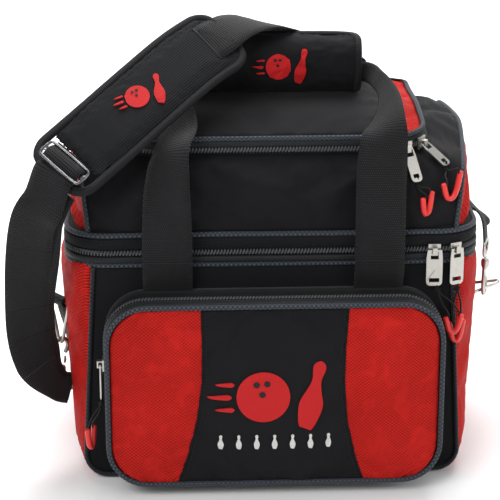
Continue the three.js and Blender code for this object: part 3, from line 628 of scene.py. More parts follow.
black_cloth = woven("black_cloth", "black_cloth", BLACK, 1.7, 0.3, 0.8, 0.06)
black_lining = woven("black_lining", "black_cloth", shade(BLACK, 0.8), 1.2, 0.15, 0.8, 0.04, flat_uv=False)
pad_cloth = ribbed("pad_cloth", "black_cloth", (0.0075, 0.0079, 0.0095), 2.3, 0.75, 0.4, along_u=False)
red_ripstop = ripstop("red_ripstop", "red_ripstop", RED, 3.9)
grey_piping = braid("grey_piping", "grey_piping", (0.052, 0.062, 0.078), 4.4, 0.85)
dark_piping = braid("dark_piping", "grey_piping", (0.026, 0.030, 0.037), 4.4, 0.85)
satin = ribbed("satin_binding", "grey_piping", (0.016, 0.017, 0.019), 1.3, 0.48, 0.18)
binding = ribbed("grosgrain_binding", "black_cloth", (0.0095, 0.0100, 0.0115), 1.5, 0.62, 0.3)
zip_tape = ribbed("zip_tape", "zip_tape", (0.0055, 0.0057, 0.0065), 1.1, 0.72, 0.2)
coil_nylon = ribbed("coil_nylon", "zip_tape", (0.12, 0.124, 0.132), 0.6, 0.3, 0.05)
webbing = webbing_finish("webbing", "webbing", (0.0060, 0.0062, 0.0070))
thread = ribbed("thread", "webbing", (0.016, 0.0165, 0.018), 0.7, 0.6, 0.1)
cord = ribbed("cord", "webbing", (0.009, 0.009, 0.010), 0.9, 0.5, 0.2)
red_thread = satin_stitch("red_thread", "red_ripstop", THREAD_RED)
white_thread = satin_stitch("white_thread", "grey_piping", (0.75, 0.75, 0.73))
dark_thread = satin_stitch("dark_thread", "black_cloth", (0.016, 0.016, 0.018))
nickel = metal("satin_nickel", "nickel", (0.50, 0.485, 0.45), 0.3)
gunmetal = metal("gunmetal", "gunmetal", (0.16, 0.16, 0.165), 0.24)
red_rubber = rubber("red_rubber", "red_rubber", (0.66, 0.022, 0.018))
board = moulded("board", "board", (0.014, 0.015, 0.016), 0.6, 700, 0.1)
foam = moulded("foam", "foam", (0.018, 0.019, 0.021), 0.9, 1500, 0.4)


def dress(obj, finish, body, replaces=()):
    """Gives a piece its material and attaches it to the body named; given a blend's four values instead, it
    only bakes the piece's placement.
    """
    obj.data.materials.clear()
    obj.data.materials.append(finish.material)
    if isinstance(body, str):
        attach(obj, body)
    else:
        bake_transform(obj)
    if replaces:
        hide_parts(*replaces)


def metres(*xyz):
    return tuple(c * MM for c in xyz)


FLAP_FOLD = ("base", "pocket_flap", metres(0, FLAP_Y, FOLD_Z - 8), metres(0, FLAP_Y, FOLD_Z + 8))
REAR_SEAM = ("base", "upper", metres(0, 124, 232), metres(0, 124, 243))


def stitches(name, path, normal, body):
    """A row of sewn stitches along a path, each a small raised lozenge."""
    pitch, length, width, lift = 3.6, 2.5, 0.8, 0.35
    path = np.asarray(path, float)
    count = max(2, int(steps(path).sum() / pitch))
    centre = resample(path, count)
    normal = np.broadcast_to(np.asarray(normal, float), path.shape)
    normal = unit(resample(normal, count) if len(normal) > 2 else normal[:1].repeat(count, 0))
    t = tangents(centre)
    side = unit(np.cross(normal, t))
    points, faces, corners = [], [], []
    for k in range(count):
        c = centre[k] + lift * normal[k]
        points += [c - t[k] * length / 2, c + t[k] * length / 2, c + side[k] * width / 2,
                   c - side[k] * width / 2, c + normal[k] * width / 2, c - normal[k] * width / 2]
        b = 6 * k
        for e, sign in ((b, 1), (b + 1, -1)):
            loop = [b + 2, b + 4, b + 3, b + 5]
            for q in range(4):
                tri = [e, loop[q], loop[(q + 1) % 4]]
                faces.append(tri if sign < 0 else tri[::-1])
                corners += [(k, 0), (k, 1), (k + 1, 1)]
    obj = new_mesh(name, points, faces, np.array(corners))
    if signed_volume(np.array(points[:6]), faces[:8]) < 0:
        obj.data.flip_normals()
    dress(obj, thread, body)


def zip_coil(name, path, outward, body):
    """The zip's nylon coil: a flattened helix that lies along the track."""
    width, height, pitch, wire, per_turn = 2.3, 1.0, 3.1, 0.8, 6
    path = np.asarray(path, float)
    count = int(steps(path).sum() / pitch) * per_turn
    centre = resample(path, count)
    out = resample(np.broadcast_to(np.asarray(outward, float), path.shape), count)
    t = tangents(centre)
    out = unit(out - t * (out * t).sum(1, keepdims=True))
    side = np.cross(t, out)
    a = 2 * np.pi * np.arange(count) / per_turn
    helix = centre + width * np.cos(a)[:, None] * side + height * np.sin(a)[:, None] * out
    dress(tube(name, helix, wire, up=t[0] + 0.3 * out[0], sides=4), coil_nylon, body)


# ---------------------------------------------------------------- lower compartment

def face_half(z):
    return mix(187, 174, z / BODY_TOP)


def side_half(z):
    return mix(190, 204, z / BODY_TOP)


def face_edge(z):
    """Half the width of the front panel at height z, with its rounded foot."""
    z = np.asarray(z, float)
    below = np.clip(FOOT + CORNER - z, 0, CORNER)
    upper_half = face_half(np.maximum(z, FOOT + CORNER))
    return upper_half - (CORNER - quarter(below, CORNER))


def face_panel(name, y, out, node, blow):
    columns, rows = 44, 34
    z = FOOT + (BODY_TOP + 4 - FOOT) * np.linspace(0, 1, rows)
    s = np.linspace(-1, 1, columns)
    S, Z = np.meshgrid(s, z, indexing="ij")
    X = S * face_edge(Z)
    crown = 1.6 * (1 - S ** 4) * np.sin(np.pi * np.clip((Z - FOOT) / BODY_TOP, 0, 1)) ** 0.6
    P = np.stack([X, y + out * crown, Z], 2)
    panel(name, P, np.stack([X, Z], 2), (0, out, 0), blow, 2.4, black_cloth, "base", node)


def edge_piping(name, y, out):
    z = np.linspace(BODY_TOP + 1, FOOT + CORNER, 26)
    right = np.stack([face_half(z), z], 1)
    foot = arc(face_half(FOOT + CORNER) - CORNER, FOOT + CORNER, CORNER, 0, -90, 9)[1:]
    half = np.vstack([right, foot])
    path = np.vstack([half, (half * [-1, 1])[::-1]])
    path = np.stack([path[:, 0], np.full(len(path), y + 1.2 * out), path[:, 1]], 1)
    path = resample(path, 150)
    dress(tube(name, path, 2.1, up=(0, 1, 0), sides=10), dark_piping, "base")


def gusset(name, side, node):
    columns, rows = 40, 38
    u = np.linspace(0, 1, columns)
    v = np.linspace(0, 1, rows)
    U, W = np.meshgrid(u, v, indexing="ij")
    turn_from = 0.86
    half_depth = 119.6
    cloth_foot = 4 + CORNER
    s = np.sin((U - 0.5) * np.pi)
    z = mix(BODY_TOP + 4, cloth_foot, np.minimum(W / turn_from, 1))
    x = face_half(z) + (side_half(z) - face_half(z)) * np.cbrt(1 - np.abs(s) ** 3)
    a = np.clip((W - turn_from) / (1 - turn_from), 0, 1) * np.pi / 2
    P = np.stack([side * (x - CORNER * (1 - np.cos(a))), s * half_depth, z - CORNER * np.sin(a)], 2)
    length = np.where(W < turn_from, z, cloth_foot - CORNER * a)
    panel(name, P, np.stack([s * half_depth, length], 2), (side, 0, 0), (1.6, 0.02, 6), 2.4, red_ripstop,
          "base", node)


def build_lower():
    face_panel("front_face_cloth", FACE_FRONT, -1, "lower_front_panel", None)
    face_panel("rear_face_cloth", FACE_BACK, 1, "lower_rear_panel", (1.2, 0.012, 5))
    gusset("left_side_cloth", -1, "lower_left_gusset")
    gusset("right_side_cloth", 1, "lower_right_gusset")
    for side, y, out in (("front", FACE_FRONT, -1), ("rear", FACE_BACK, 1)):
        edge_piping(f"{side}_edge_piping", y, out)


# ---------------------------------------------------------------- rim and main zip

def rim_plan(offset):
    return ring2d(-RIM_HALF - offset, RIM_HALF + offset, FACE_FRONT - offset, FACE_BACK + offset,
                  RIM_R + offset, straight=30, corner=9)


def rim_sweep(name, z, offset, half_z, half_offset, finish, body, replaces=(), waver=0.0):
    """A soft band round the rim with an oval section."""
    sides = 14
    rings = []
    for a in 2 * np.pi * np.arange(sides) / sides:
        plan = rim_plan(offset + half_offset * signed_power(np.cos(a), 0.7))
        ring = lay(plan, z + half_z * signed_power(np.sin(a), 0.7))
        ring[:, 2] += wobble(ring, waver, 46, z)
        rings.append(ring)
    dress(grid(name, np.stack(rings, 1), wrap_i=True, wrap_j=True), finish, body, replaces)


def rim_path(z, offset):
    return lay(rim_plan(offset), z)


def track(path):
    """The part of a rim path that carries the zip: both sides and the front, open at the back."""
    zip_end_y = 100
    return open_run(path, path[:, 1] < zip_end_y)


def plan_normals(path):
    return unit(np.cross(tangents(path), (0, 0, 1)))


def build_rim():
    rim_sweep("rim_lower_piping", 224.2, 0, 2.4, 2.4, grey_piping, "base", ["rim_piping_lower"], 0.5)
    rim_sweep("rim_lower_binding", 229.8, 0.6, 3.4, 2.6, satin, "base", waver=0.5)
    rim_sweep("rim_lower_tape", 233.9, -0.6, 2.7, 1.0, zip_tape, "base", ["main_zip_lower_tape"])
    rim_sweep("rim_upper_tape", 239.6, -0.6, 2.1, 1.0, zip_tape, "upper", ["main_zip_upper_tape"])
    rim_sweep("rim_upper_band", 246.8, 0.4, 5.4, 2.3, black_cloth, "upper", waver=0.8)
    rim_sweep("rim_upper_piping", 254.4, 0, 2.4, 2.4, grey_piping, "upper", ["rim_piping_upper"], 0.7)
    zip_path = track(rim_path(RIM_ZIP, 1.6))
    zip_coil("main_zip_coil", zip_path, plan_normals(zip_path), "base")
    stitch_heights = (243.6, 250.4)
    for k, z in enumerate(stitch_heights):
        row = track(rim_path(z, 2.75))
        row[:, 2] += wobble(row, 0.8, 46, 246.8)
        stitches(f"rim_stitches_{k + 1}", row, plan_normals(row), "upper")
    seam = np.column_stack([np.linspace(-158, 158, 60), np.full(60, FACE_BACK + 3.4), np.zeros(60)])
    rows = [seam + [0, 1.2 * math.sin(math.pi * t), mix(226, 251, t)] for t in np.linspace(0, 1, 12)]
    strip("rear_seam_strip", rows, (0, 1, 0), 1.6, webbing, REAR_SEAM, 1.0)


# ---------------------------------------------------------------- upper compartment

def settle(p):
    """Soft cloth's own shape: the top's rear corners droop and the shoulders swell out past the lid."""
    p = np.array(p, float)
    x, y, z = p[..., 0], p[..., 1], p[..., 2]
    high = ease((z - 285) / 45)
    rear = ease((y + 30) / 110) * ease((np.abs(x) - 70) / 80)
    edge = ease((np.abs(x) - 150) / 32) * np.sin(np.pi * np.clip((y + 115) / 235, 0, 1)) ** 0.7
    p[..., 2] += high * (9 * edge - 13 * rear)
    p[..., 0] += np.sign(x) * high * 11 * edge
    return p


def end_controls(side):
    """The piped seam round an end panel, from the front foot over the top to the back foot."""
    points = [(177, -115, 257), (179, -114, 275), (181, -110.5, 293), (182, -105, 304), (182, -95, 311.5),
              (182, -60, 317.5), (182, -10, 325), (182, 40, 331), (182, 84, 334.8), (182, 101, 333),
              (181.5, 112, 323), (180, 117.5, 303), (178.5, 119.5, 280), (177, 119.8, 257)]
    return settle(np.array(points, float) * [side, 1, 1])


def end_path(side, count=90):
    return curve(end_controls(side), count)


def on_lid(p):
    """From the lid's frame, where -Y runs to the front, to the row frame."""
    p = np.asarray(p, float)
    c, s = math.cos(LID_SLOPE), math.sin(LID_SLOPE)
    y = p[..., 1] * c - p[..., 2] * s
    z = p[..., 1] * s + p[..., 2] * c
    return settle(np.stack([p[..., 0], y, z], -1) + LID_HINGE)


LID_UP = vec(0, -math.sin(LID_SLOPE), math.cos(LID_SLOPE))


def lid_zip_plan(offset=0.0, per_side=16, per_corner=12, front=34):
    """The lid zip's track in the lid's frame: up the left side, across the front, back on the right."""
    half, length, r = LID_HALF + offset, LID_LENGTH + offset, LID_R + offset
    right = np.vstack([
        np.column_stack([np.full(per_side, half), np.linspace(-2, -length + r, per_side)]),
        arc(half - r, -length + r, r, 0, -90, per_corner)[1:],
        np.column_stack([np.linspace(half - r, 0, front // 2 + 1), np.full(front // 2 + 1, -length)])[1:],
    ])
    left = (right * [-1, 1])[:-1]
    return np.vstack([left, right[::-1]])


def cowl():
    """Front wall and shoulders in one sheet, from the piped seams and the foot up to the lid's zip."""
    per_side, per_corner, front = 16, 14, 40
    inner = lid_zip_plan(0, per_side, per_corner, front)
    inner = on_lid(lay(inner, -5.5))
    seam = end_path(1, 200)
    top_end = int(np.argmax(seam[:, 1] > 82))
    corner_at = int(np.argmin(np.abs(seam[:, 2] - 309) + (seam[:, 1] > -80) * 100))
    foot = np.linspace(177, 0, front // 2 + 5)
    sag = -115 - 5.0 * ease((177 - foot) / 26)
    bottom = np.column_stack([foot, sag, np.full(len(foot), 256.0)])
    outer_side = resample(seam[corner_at:top_end][::-1], per_side)
    outer_edge = resample(seam[: corner_at + 1][::-1], 10)[1:]
    outer_right = np.vstack([outer_side, outer_edge, bottom[1:]])
    need = (len(inner) + 1) // 2
    rest = resample(outer_right[per_side + 8:], need - per_side - 8)[1:]
    outer_right = np.vstack([outer_right[: per_side + 9], rest])
    outer = np.vstack([(outer_right * [-1, 1, 1])[:-1], outer_right[::-1]])
    rows = 22
    v = np.linspace(0, 1, rows)[:, None, None]
    P = mix(outer[None], inner[None], v)
    share_front = ease((-outer[:, 1] - 70) / 40)[None, :, None]
    low = ease((300 - outer[:, 2]) / 36)[None, :, None]
    push = mix(vec(0, 0, 4.0), vec(0, -5.0, 1.5), share_front)
    push = mix(push, vec(0, -11.0, 4.0), low * share_front)
    P = P + push * np.sin(np.pi * v) ** 0.85
    P[..., 0] += np.sign(P[..., 0]) * 2.5 * (np.sin(np.pi * v[..., 0]) * (1 - share_front[..., 0]))
    P = np.swapaxes(P, 0, 1)
    uv = lattice(run_length(P[:, rows // 2]), run_length(P[len(P) // 2]))
    panel("upper_front_cloth", P, uv, (0, -1, 0.4), (0.8, 0.03, 6.5, 22, 0.25), 2.2, black_cloth,
          "upper", "upper_cowl", soft=True)


def end_panel(name, side, node):
    t = np.linspace(0, 1, 28)
    spread = 177.0 + 20.0 * np.sin(np.pi * t) ** 0.35
    foot = np.column_stack([spread * side, mix(119.8, -115, t), np.full(28, 257.0)])[1:-1]
    outline = np.vstack([end_path(side, 84), foot])
    centre = outline.mean(0)
    r = np.linspace(0.06, 1, 14)
    P = centre + r[:, None, None] * (outline - centre)[None, :, :]
    P = P + np.outer(1 - r ** 2.4, vec(side * 9, 0, 0))[:, None, :]
    uv = np.concatenate([P, P[:, :1]], 1)[..., [1, 2]]
    obj = grid(name, P, uv, wrap_j=True, outward=(side, 0, 0))
    points = [v.co / MM for v in obj.data.vertices]
    faces = [list(f.vertices) for f in obj.data.polygons]
    corners = [tuple(c.uv / MM) for c in obj.data.uv_layers[0].data]
    inner = list(range(P.shape[1]))
    for hub in (inner, inner[::-1]):
        bpy.data.objects.remove(obj)
        obj = new_mesh(name, points, faces + [hub], np.array(corners + [tuple(uv[0, i]) for i in hub]))
        if obj.data.polygons[0].normal.dot(obj.data.polygons[-1].normal) >= 0:
            break
    pinned = np.zeros(P.shape[:2], bool)
    pinned[-1] = True
    cloth(obj, pinned.ravel(), 1.4, 0.02, 4)
    solid(obj, 2.2)
    dress(obj, red_ripstop, "upper", [node])


def rear_wall():
    rows, columns = 28, 34
    seam = end_path(1, 200)
    back = seam[int(np.argmax(seam[:, 1] > 84)):][::-1]
    side_edge = resample(back, rows)
    profile = curve([(0, 120.5, 256), (0, 121.5, 290), (0, 119, 318), (0, 108, 340), (0, 88, 350.5)], rows)
    outer_share = ease((np.linspace(-1, 1, columns) ** 2 - 0.2) / 0.5)
    drop = outer_share[:, None] * ease((profile[None, :, 2] - 300) / 40) * 9
    s = np.linspace(-1, 1, columns)
    rise = (1 - np.abs(s) ** 3)[:, None]
    P = np.zeros((columns, rows, 3))
    P[..., 0] = s[:, None] * side_edge[None, :, 0]
    P[..., 1] = mix(side_edge[None, :, 1], profile[None, :, 1], rise)
    P[..., 2] = mix(side_edge[None, :, 2], profile[None, :, 2], rise) - drop * rise
    panel("upper_rear_cloth", P, None, (0, 1, 0.2), (1.0, 0.025, 7), 2.2, black_cloth, "upper",
          "upper_rear_wall", soft=True)


def deck():
    """The ledge between the rim and the walls that stand on it."""
    outer = ring2d(-RIM_HALF + 1, RIM_HALF - 1, FACE_FRONT + 1, FACE_BACK - 1, RIM_R - 1, 24, 8)
    inner = ring2d(-175, 175, -117, 118, 12, 24, 8)
    rings = [lay(mix(outer, inner, t), 255.0 + 3.2 * t) + [0, 0, 1.2 * math.sin(math.pi * t)]
             for t in np.linspace(0, 1, 7)]
    obj = grid("upper_deck_cloth", np.stack(rings, 1), wrap_i=True, outward=(0, 0, 1))
    solid(obj, 1.6)
    dress(obj, black_cloth, "upper")


def build_upper():
    cowl()
    rear_wall()
    deck()
    for side, sign in (("left", -1), ("right", 1)):
        end_panel(f"upper_{side}_end_cloth", sign, f"upper_{side}_end")
        path = end_path(sign, 120)
        t, outward = tangents(path), vec(sign, 0, 0)
        rim_out = unit(np.cross(t, outward)) * -sign
        path = path + vec(sign * 0.8, 0, 0) + rim_out * 0.6
        dress(tube(f"upper_{side}_end_piping", path, 2.3, up=(sign, 0, 0), sides=10), grey_piping, "upper")
    rows = [on_lid(lay(lid_zip_plan(d), z)) for z, d in ((-6.5, 0.8), (-3.6, 0.9), (-0.9, 0.3))]
    strip("lid_zip_lower_tape", rows, (0, -1, 0), 1.4, zip_tape, "upper")
    path = on_lid(lay(lid_zip_plan(1.6), 0.0))
    zip_coil("lid_zip_coil", path, unit(np.cross(tangents(path), LID_UP)), "upper")


# ---------------------------------------------------------------- lid

LID_EDGE_HALF = 146.0


def lid_edge(y):
    """Half the lid's width at y in the lid's frame, with its rounded front corners."""
    half, r = LID_EDGE_HALF, 34.0
    return half - r + quarter(np.clip(-(LID_LENGTH - 3) + r - y, 0, r), r)


def lid_top(name, low, high, finish, node):
    """One panel of the lid, between two seams given as shares of its half width."""
    columns = 30 if finish is black_cloth else 14
    rows = 32
    y = np.linspace(-LID_LENGTH + 3, -5, rows)
    half = lid_edge(y)
    seam = 109 + 3 * np.sin(np.pi * (y + LID_LENGTH) / LID_LENGTH)
    bounds = {-1: -half, 1: half, -0.5: -np.minimum(seam, half), 0.5: np.minimum(seam, half)}
    t = np.linspace(0, 1, columns)[:, None]
    X = mix(bounds[low][None, :], bounds[high][None, :], t)
    Y = np.broadcast_to(y, X.shape)
    across = X / LID_EDGE_HALF
    along = (Y + LID_LENGTH) / LID_LENGTH
    crown = 8.5 * np.clip(np.sin(np.pi * np.clip(along, 0, 1)), 0, 1) ** 0.55 * (1 - np.abs(across) ** 3.2)
    P = on_lid(np.stack([X, Y, 10.5 + crown], 2))
    panel(name, P, np.stack([X, Y], 2), (0, 0, 1), (0.7, 0.02, 4), 2.4, finish, "lid", node)


def lid_ring(offset):
    """The lid's outline in its own frame, closed along the hinge."""
    half, r = LID_HALF - 2 + offset, LID_R - 2 + offset
    front = -LID_LENGTH + 2 - offset
    back, rear_r = -3, 6.0
    return np.vstack([
        arc(-half + r, front + r, r, 180, 270, 9),
        between((-half + r, front), (half - r, front), 26),
        arc(half - r, front + r, r, 270, 360, 9),
        between((half, front + r), (half, back - rear_r), 16),
        arc(half - rear_r, back - rear_r, rear_r, 0, 90, 5),
        between((half - rear_r, back), (-half + rear_r, back), 26),
        arc(-half + rear_r, back - rear_r, rear_r, 90, 180, 5),
        between((-half, back - rear_r), (-half, front + r), 16),
    ])


def lid_sweep(name, z, offset, half_z, half_offset, finish, replaces):
    sides = 12
    rings = [on_lid(lay(lid_ring(offset + half_offset * math.cos(a)), z + half_z * math.sin(a)))
             for a in 2 * np.pi * np.arange(sides) / sides]
    dress(grid(name, np.stack(rings, 1), wrap_i=True, wrap_j=True), finish, "lid", replaces)


def build_lid():
    lid_top("lid_centre_cloth", -0.5, 0.5, black_cloth, "lid_centre_panel")
    lid_top("lid_left_cloth", -1, -0.5, red_ripstop, "lid_left_end")
    lid_top("lid_right_cloth", 0.5, 1, red_ripstop, "lid_right_end")
    lid_sweep("lid_edge_piping", 10.6, 1.0, 2.4, 2.4, grey_piping, ["lid_piping"])
    lid_sweep("lid_edge_binding", 5.2, 1.6, 3.6, 2.4, satin, ["lid_zip_tape"])
    rows = [on_lid(lay(lid_zip_plan(d), z)) for z, d in ((0.9, 0.3), (2.6, 0.6))]
    strip("lid_zip_upper_tape", rows, (0, -1, 0), 1.4, zip_tape, "lid")
    hinge = np.column_stack([np.linspace(-143, 143, 50), np.zeros(50), np.zeros(50)])
    over_the_back = ((94, 350), (89, 354.5), (83, 359.5), (79, 364), (75, 367.5))
    rows = [settle(hinge + (0, y, z)) for y, z in over_the_back]
    strip("lid_hinge_strip", rows, (0, 1, 1), 1.6, black_cloth,
          ("upper", "lid", metres(0, 92, 351.5), metres(0, 78, 364)), 1.0)


# ---------------------------------------------------------------- front pocket

def pocket_ring(offset=0.0):
    return ring2d(-POCKET_HALF - offset, POCKET_HALF + offset, POCKET_LOW - offset, POCKET_HIGH + offset,
                  POCKET_R + offset, 26, 10)


def pocket_loft(name, rows, finish, body, replaces=(), thickness=2.0):
    """A wall that follows the pocket's outline; rows are (offset, y)."""
    rings = []
    for offset, y in rows:
        plan = pocket_ring(offset)
        rings.append(stand(plan, y))
    obj = grid(name, np.stack(rings, 1), wrap_i=True)
    middle = obj.data.polygons[0].center
    face(obj, (middle.x, 0, middle.z - POCKET_MIDDLE * MM))
    solid(obj, thickness)
    dress(obj, finish, body, replaces)


def pocket_edge(z):
    """Half the pocket face's width at height z, with its rounded corners."""
    half, r = 158.0, 37.0
    low, high = POCKET_LOW + 4, POCKET_HIGH - 4
    into = np.maximum(np.clip(low + r - z, 0, r), np.clip(z - high + r, 0, r))
    return half - r + quarter(into, r)


def flap_face(X, Z):
    """How far forward the pocket's face stands at each point."""
    across = np.clip(np.abs(X) / 158.0, 0, 1)
    up = np.clip(np.abs(Z - 105.5) / 89.5, 0, 1)
    return FLAP_Y - 4.6 * (1 - across ** 4) * (1 - up ** 4)


SEAM_HEIGHTS = [16, 40, 81, 121, 160, 196]


def left_seam(z):
    return np.interp(z, SEAM_HEIGHTS, [-94, -86, -75.5, -70, -69.5, -70.5])


def right_seam(z):
    return np.interp(z, SEAM_HEIGHTS, [86, 78, 69, 66, 67, 70])


def pocket_panel(name, low, high, finish, node, columns):
    rows = 44
    z = POCKET_LOW + 4 + (POCKET_HIGH - POCKET_LOW - 8) * (0.5 - 0.5 * np.cos(np.linspace(0, np.pi, rows)))
    half = pocket_edge(z)
    edges = {"left": -half, "right": half, "left_seam": np.maximum(left_seam(z), -half),
             "right_seam": np.minimum(right_seam(z), half)}
    t = np.linspace(0, 1, columns)[:, None]
    X = mix(edges[low][None, :], edges[high][None, :], t)
    Z = np.broadcast_to(z, X.shape)
    puff = 2.6 * np.sin(np.pi * t) ** 0.5 * np.sin(np.pi * np.linspace(0, 1, rows))[None, :] ** 0.4
    P = np.stack([X, flap_face(X, Z) + 2.0 - puff, Z], 2)
    panel(name, P, np.stack([X, Z], 2), (0, -1, 0), (0.9, 0.022, 4), 2.0, finish, FLAP_FOLD, node)


def build_pocket():
    pocket_loft("pocket_wall_cloth", [(1, -122.6), (0.8, -128), (1.6, -136), (0.6, -145.5)],
                black_cloth, "base", ["pocket_gusset"])
    pocket_loft("pocket_zip_tape", [(0.2, -146), (-0.8, POCKET_ZIP_Y), (0.2, -156)], zip_tape,
                "base", thickness=1.2)
    pocket_loft("pocket_front_wall", [(0.8, -156.5), (1.4, -160), (0.8, -165), (-1.2, -168.5)],
                satin, FLAP_FOLD)
    plan = pocket_ring(-1.8)
    path = stand(plan, FLAP_Y + 1.0)
    path = resample(path, 240, closed=True)
    piping = tube("pocket_edge_piping", path, 2.5, up=(0, 1, 0), sides=10, closed=True)
    dress(piping, grey_piping, FLAP_FOLD, ["pocket_piping"])
    pocket_panel("pocket_left_cloth", "left", "left_seam", red_ripstop, "pocket_left_panel", 30)
    pocket_panel("pocket_centre_cloth", "left_seam", "right_seam", black_cloth, "pocket_centre_panel", 40)
    pocket_panel("pocket_right_cloth", "right_seam", "right", red_ripstop, "pocket_right_panel", 30)
    ring = pocket_ring(0.6)
    ring = stand(ring, POCKET_ZIP_Y)
    path = open_run(ring, ring[:, 2] > FOLD_Z - 4)
    centre = vec(0, POCKET_ZIP_Y, POCKET_MIDDLE)
    zip_coil("pocket_zip_coil", path, unit((path - centre) * [0.4, 0, 1.0]), "base")
    for side, seam, shift in (("left", left_seam, 3.5), ("right", right_seam, -3.5)):
        z = np.linspace(20, 192, 50)
        x = seam(z) + shift
        row = np.column_stack([x, flap_face(x, z) + 0.9, z])
        stitches(f"pocket_{side}_seam_stitches", row, (0, -1, 0), FLAP_FOLD)
    z = np.linspace(17, 194, 40)
    for side, seam in (("left", left_seam), ("right", right_seam)):
        row = np.column_stack([seam(z), flap_face(seam(z), z) + 2.4, z])
        welt = tube(f"pocket_{side}_seam", resample(row, 70), 1.1, up=(0, 1, 0), sides=8)
        dress(welt, black_cloth, FLAP_FOLD)


# ---------------------------------------------------------------- handles

def folded(count, grip):
    """Half the webbing's width along a loop: folded to grip in the middle, flat outside it."""
    t = np.linspace(0, 1, count)
    folded_share, sharpness = 0.17, 5
    return mix(grip, WEB_HALF, ease((np.abs(t - 0.5) - folded_share) * sharpness))


def front_loop_path(count):
    x = LEG_X
    controls = [(-x, -137, 230), (-x, -136.5, 280), (-x + 1, -136, 310), (-97, -129, 340),
                (-89, -100, 355), (-88, -54, 370), (-85, -10, 385), (0, -6, 386), (88, -9, 387),
                (108, -42, 384), (112, -88, 376), (x + 4, -127, 360), (x + 1, -135.5, 335),
                (x, -136, 305), (x, -136.5, 275), (x, -137, 230)]
    widths = [(-1, 0, 0)] * 3
    widths += [(-0.95, 0.2, -0.1), (-0.7, 0.6, -0.2), (-0.6, 0.8, 0), (-0.2, 1, 0), (0, 1, 0),
               (0.1, 0.6, 0.75), (0.35, 0.1, 0.9), (0.75, 0.1, 0.6), (0.98, 0, -0.18)]
    widths += [(1, 0, 0)] * 4
    return webbing_path(controls, widths, count)


def rear_loop_path(count):
    x, y = LEG_X, 128.5
    half = [(x, y, 240), (x, y, 275), (x, y, 310), (x - 1, y - 1, 342), (x - 5, 108, 366),
            (92, 56, 380), (83, 10, 399)]
    turns = [(1, 0, 0)] * 4 + [(0.95, -0.3, 0), (0.6, -0.8, 0), (0.2, -1, 0)]
    controls = [(-a, b, c) for a, b, c in half] + [(0, 2, 400)] + half[::-1]
    widths = [(-a, b, c) for a, b, c in turns] + [(0, -1, 0)] + turns[::-1]
    return webbing_path(controls, widths, count)


def box_stitch(name, x, y, z0, z1):
    """The sewn box and cross that holds a webbing end."""
    half = 18
    low, high = [(x - half, y, z0), (x + half, y, z0)], [(x + half, y, z1), (x - half, y, z1)]
    corners = [*low, *high, low[0], high[0], low[1], high[1]]
    stitches(name, resample(np.array(corners, float), 160), (0, 1, 0), "base")


def handle_leg(name, points, body, replaces=()):
    webbing_band(name, curve(points, 40), np.tile((1.0, 0, 0), (40, 1)), WEB_HALF, body, replaces)


def build_handles():
    path, across = front_loop_path(220)
    webbing_band("front_handle_loop", path, across, folded(220, 10),
                 ("front_leg", "front_handle", metres(0, -137, 240), metres(0, -137, 264)),
                 ["front_handle_webbing"])
    for side, sign in (("left", -1), ("right", 1)):
        x = sign * LEG_X
        points = [(x, -126, 150), (x, -126.5, 185), (x, -129, 205), (x, -135, 219), (x, -137, 231)]
        handle_leg(f"front_{side}_leg", points,
                   ("base", "front_leg", metres(0, -130, 196), metres(0, -130, 214)),
                   [f"front_leg_{side}"])
        points = [(x, 125.6, 120), (x, 125.8, 200), (x, 127.5, 222), (x, 129, 241)]
        handle_leg(f"rear_{side}_anchor", points, REAR_SEAM)
        box_stitch(f"rear_{side}_anchor_stitches", x, 127.0, 126, 162)
    path, across = rear_loop_path(220)
    webbing_band("rear_handle_loop", path, across, folded(220, 11),
                 ("upper", "rear_handle", metres(0, 128.5, 240), metres(0, 128.5, 262)),
                 ["rear_handle_webbing"])
    grip_wrap()


GRIP_Z = 395.0


def grip_section(count):
    a = 2 * np.pi * np.arange(count) / count
    y = 22.5 * signed_power(np.cos(a), 0.62)
    z = 25.0 * signed_power(np.sin(a), 0.62)
    return np.stack([y, z], 1)


def grip_wrap():
    """Padded sleeve round both handle loops, its ends open and bound."""
    left, right = -79.0, 85.0
    x = np.linspace(left, right, 46)
    section = grip_section(48)
    swell = 1 + 0.035 * np.sin(np.pi * (x - left) / (right - left)) ** 0.5
    P = np.zeros((len(x), 48, 3))
    P[..., 0] = x[:, None]
    P[..., 1] = swell[:, None] * section[None, :, 0]
    P[..., 2] = GRIP_Z + swell[:, None] * section[None, :, 1]
    obj = grid("grip_wrap_cloth", P, wrap_j=True)
    face(obj, obj.data.polygons[0].center - Vector(metres(0, 0, GRIP_Z)))
    pinned = np.zeros((len(x), 48), bool)
    pinned[[0, -1]] = True
    cloth(obj, pinned.ravel(), 0.5, 0.012, 2)
    solid(obj, 5)
    dress(obj, black_cloth, "front_handle", ["grip_wrap"])
    grip_flap(section)


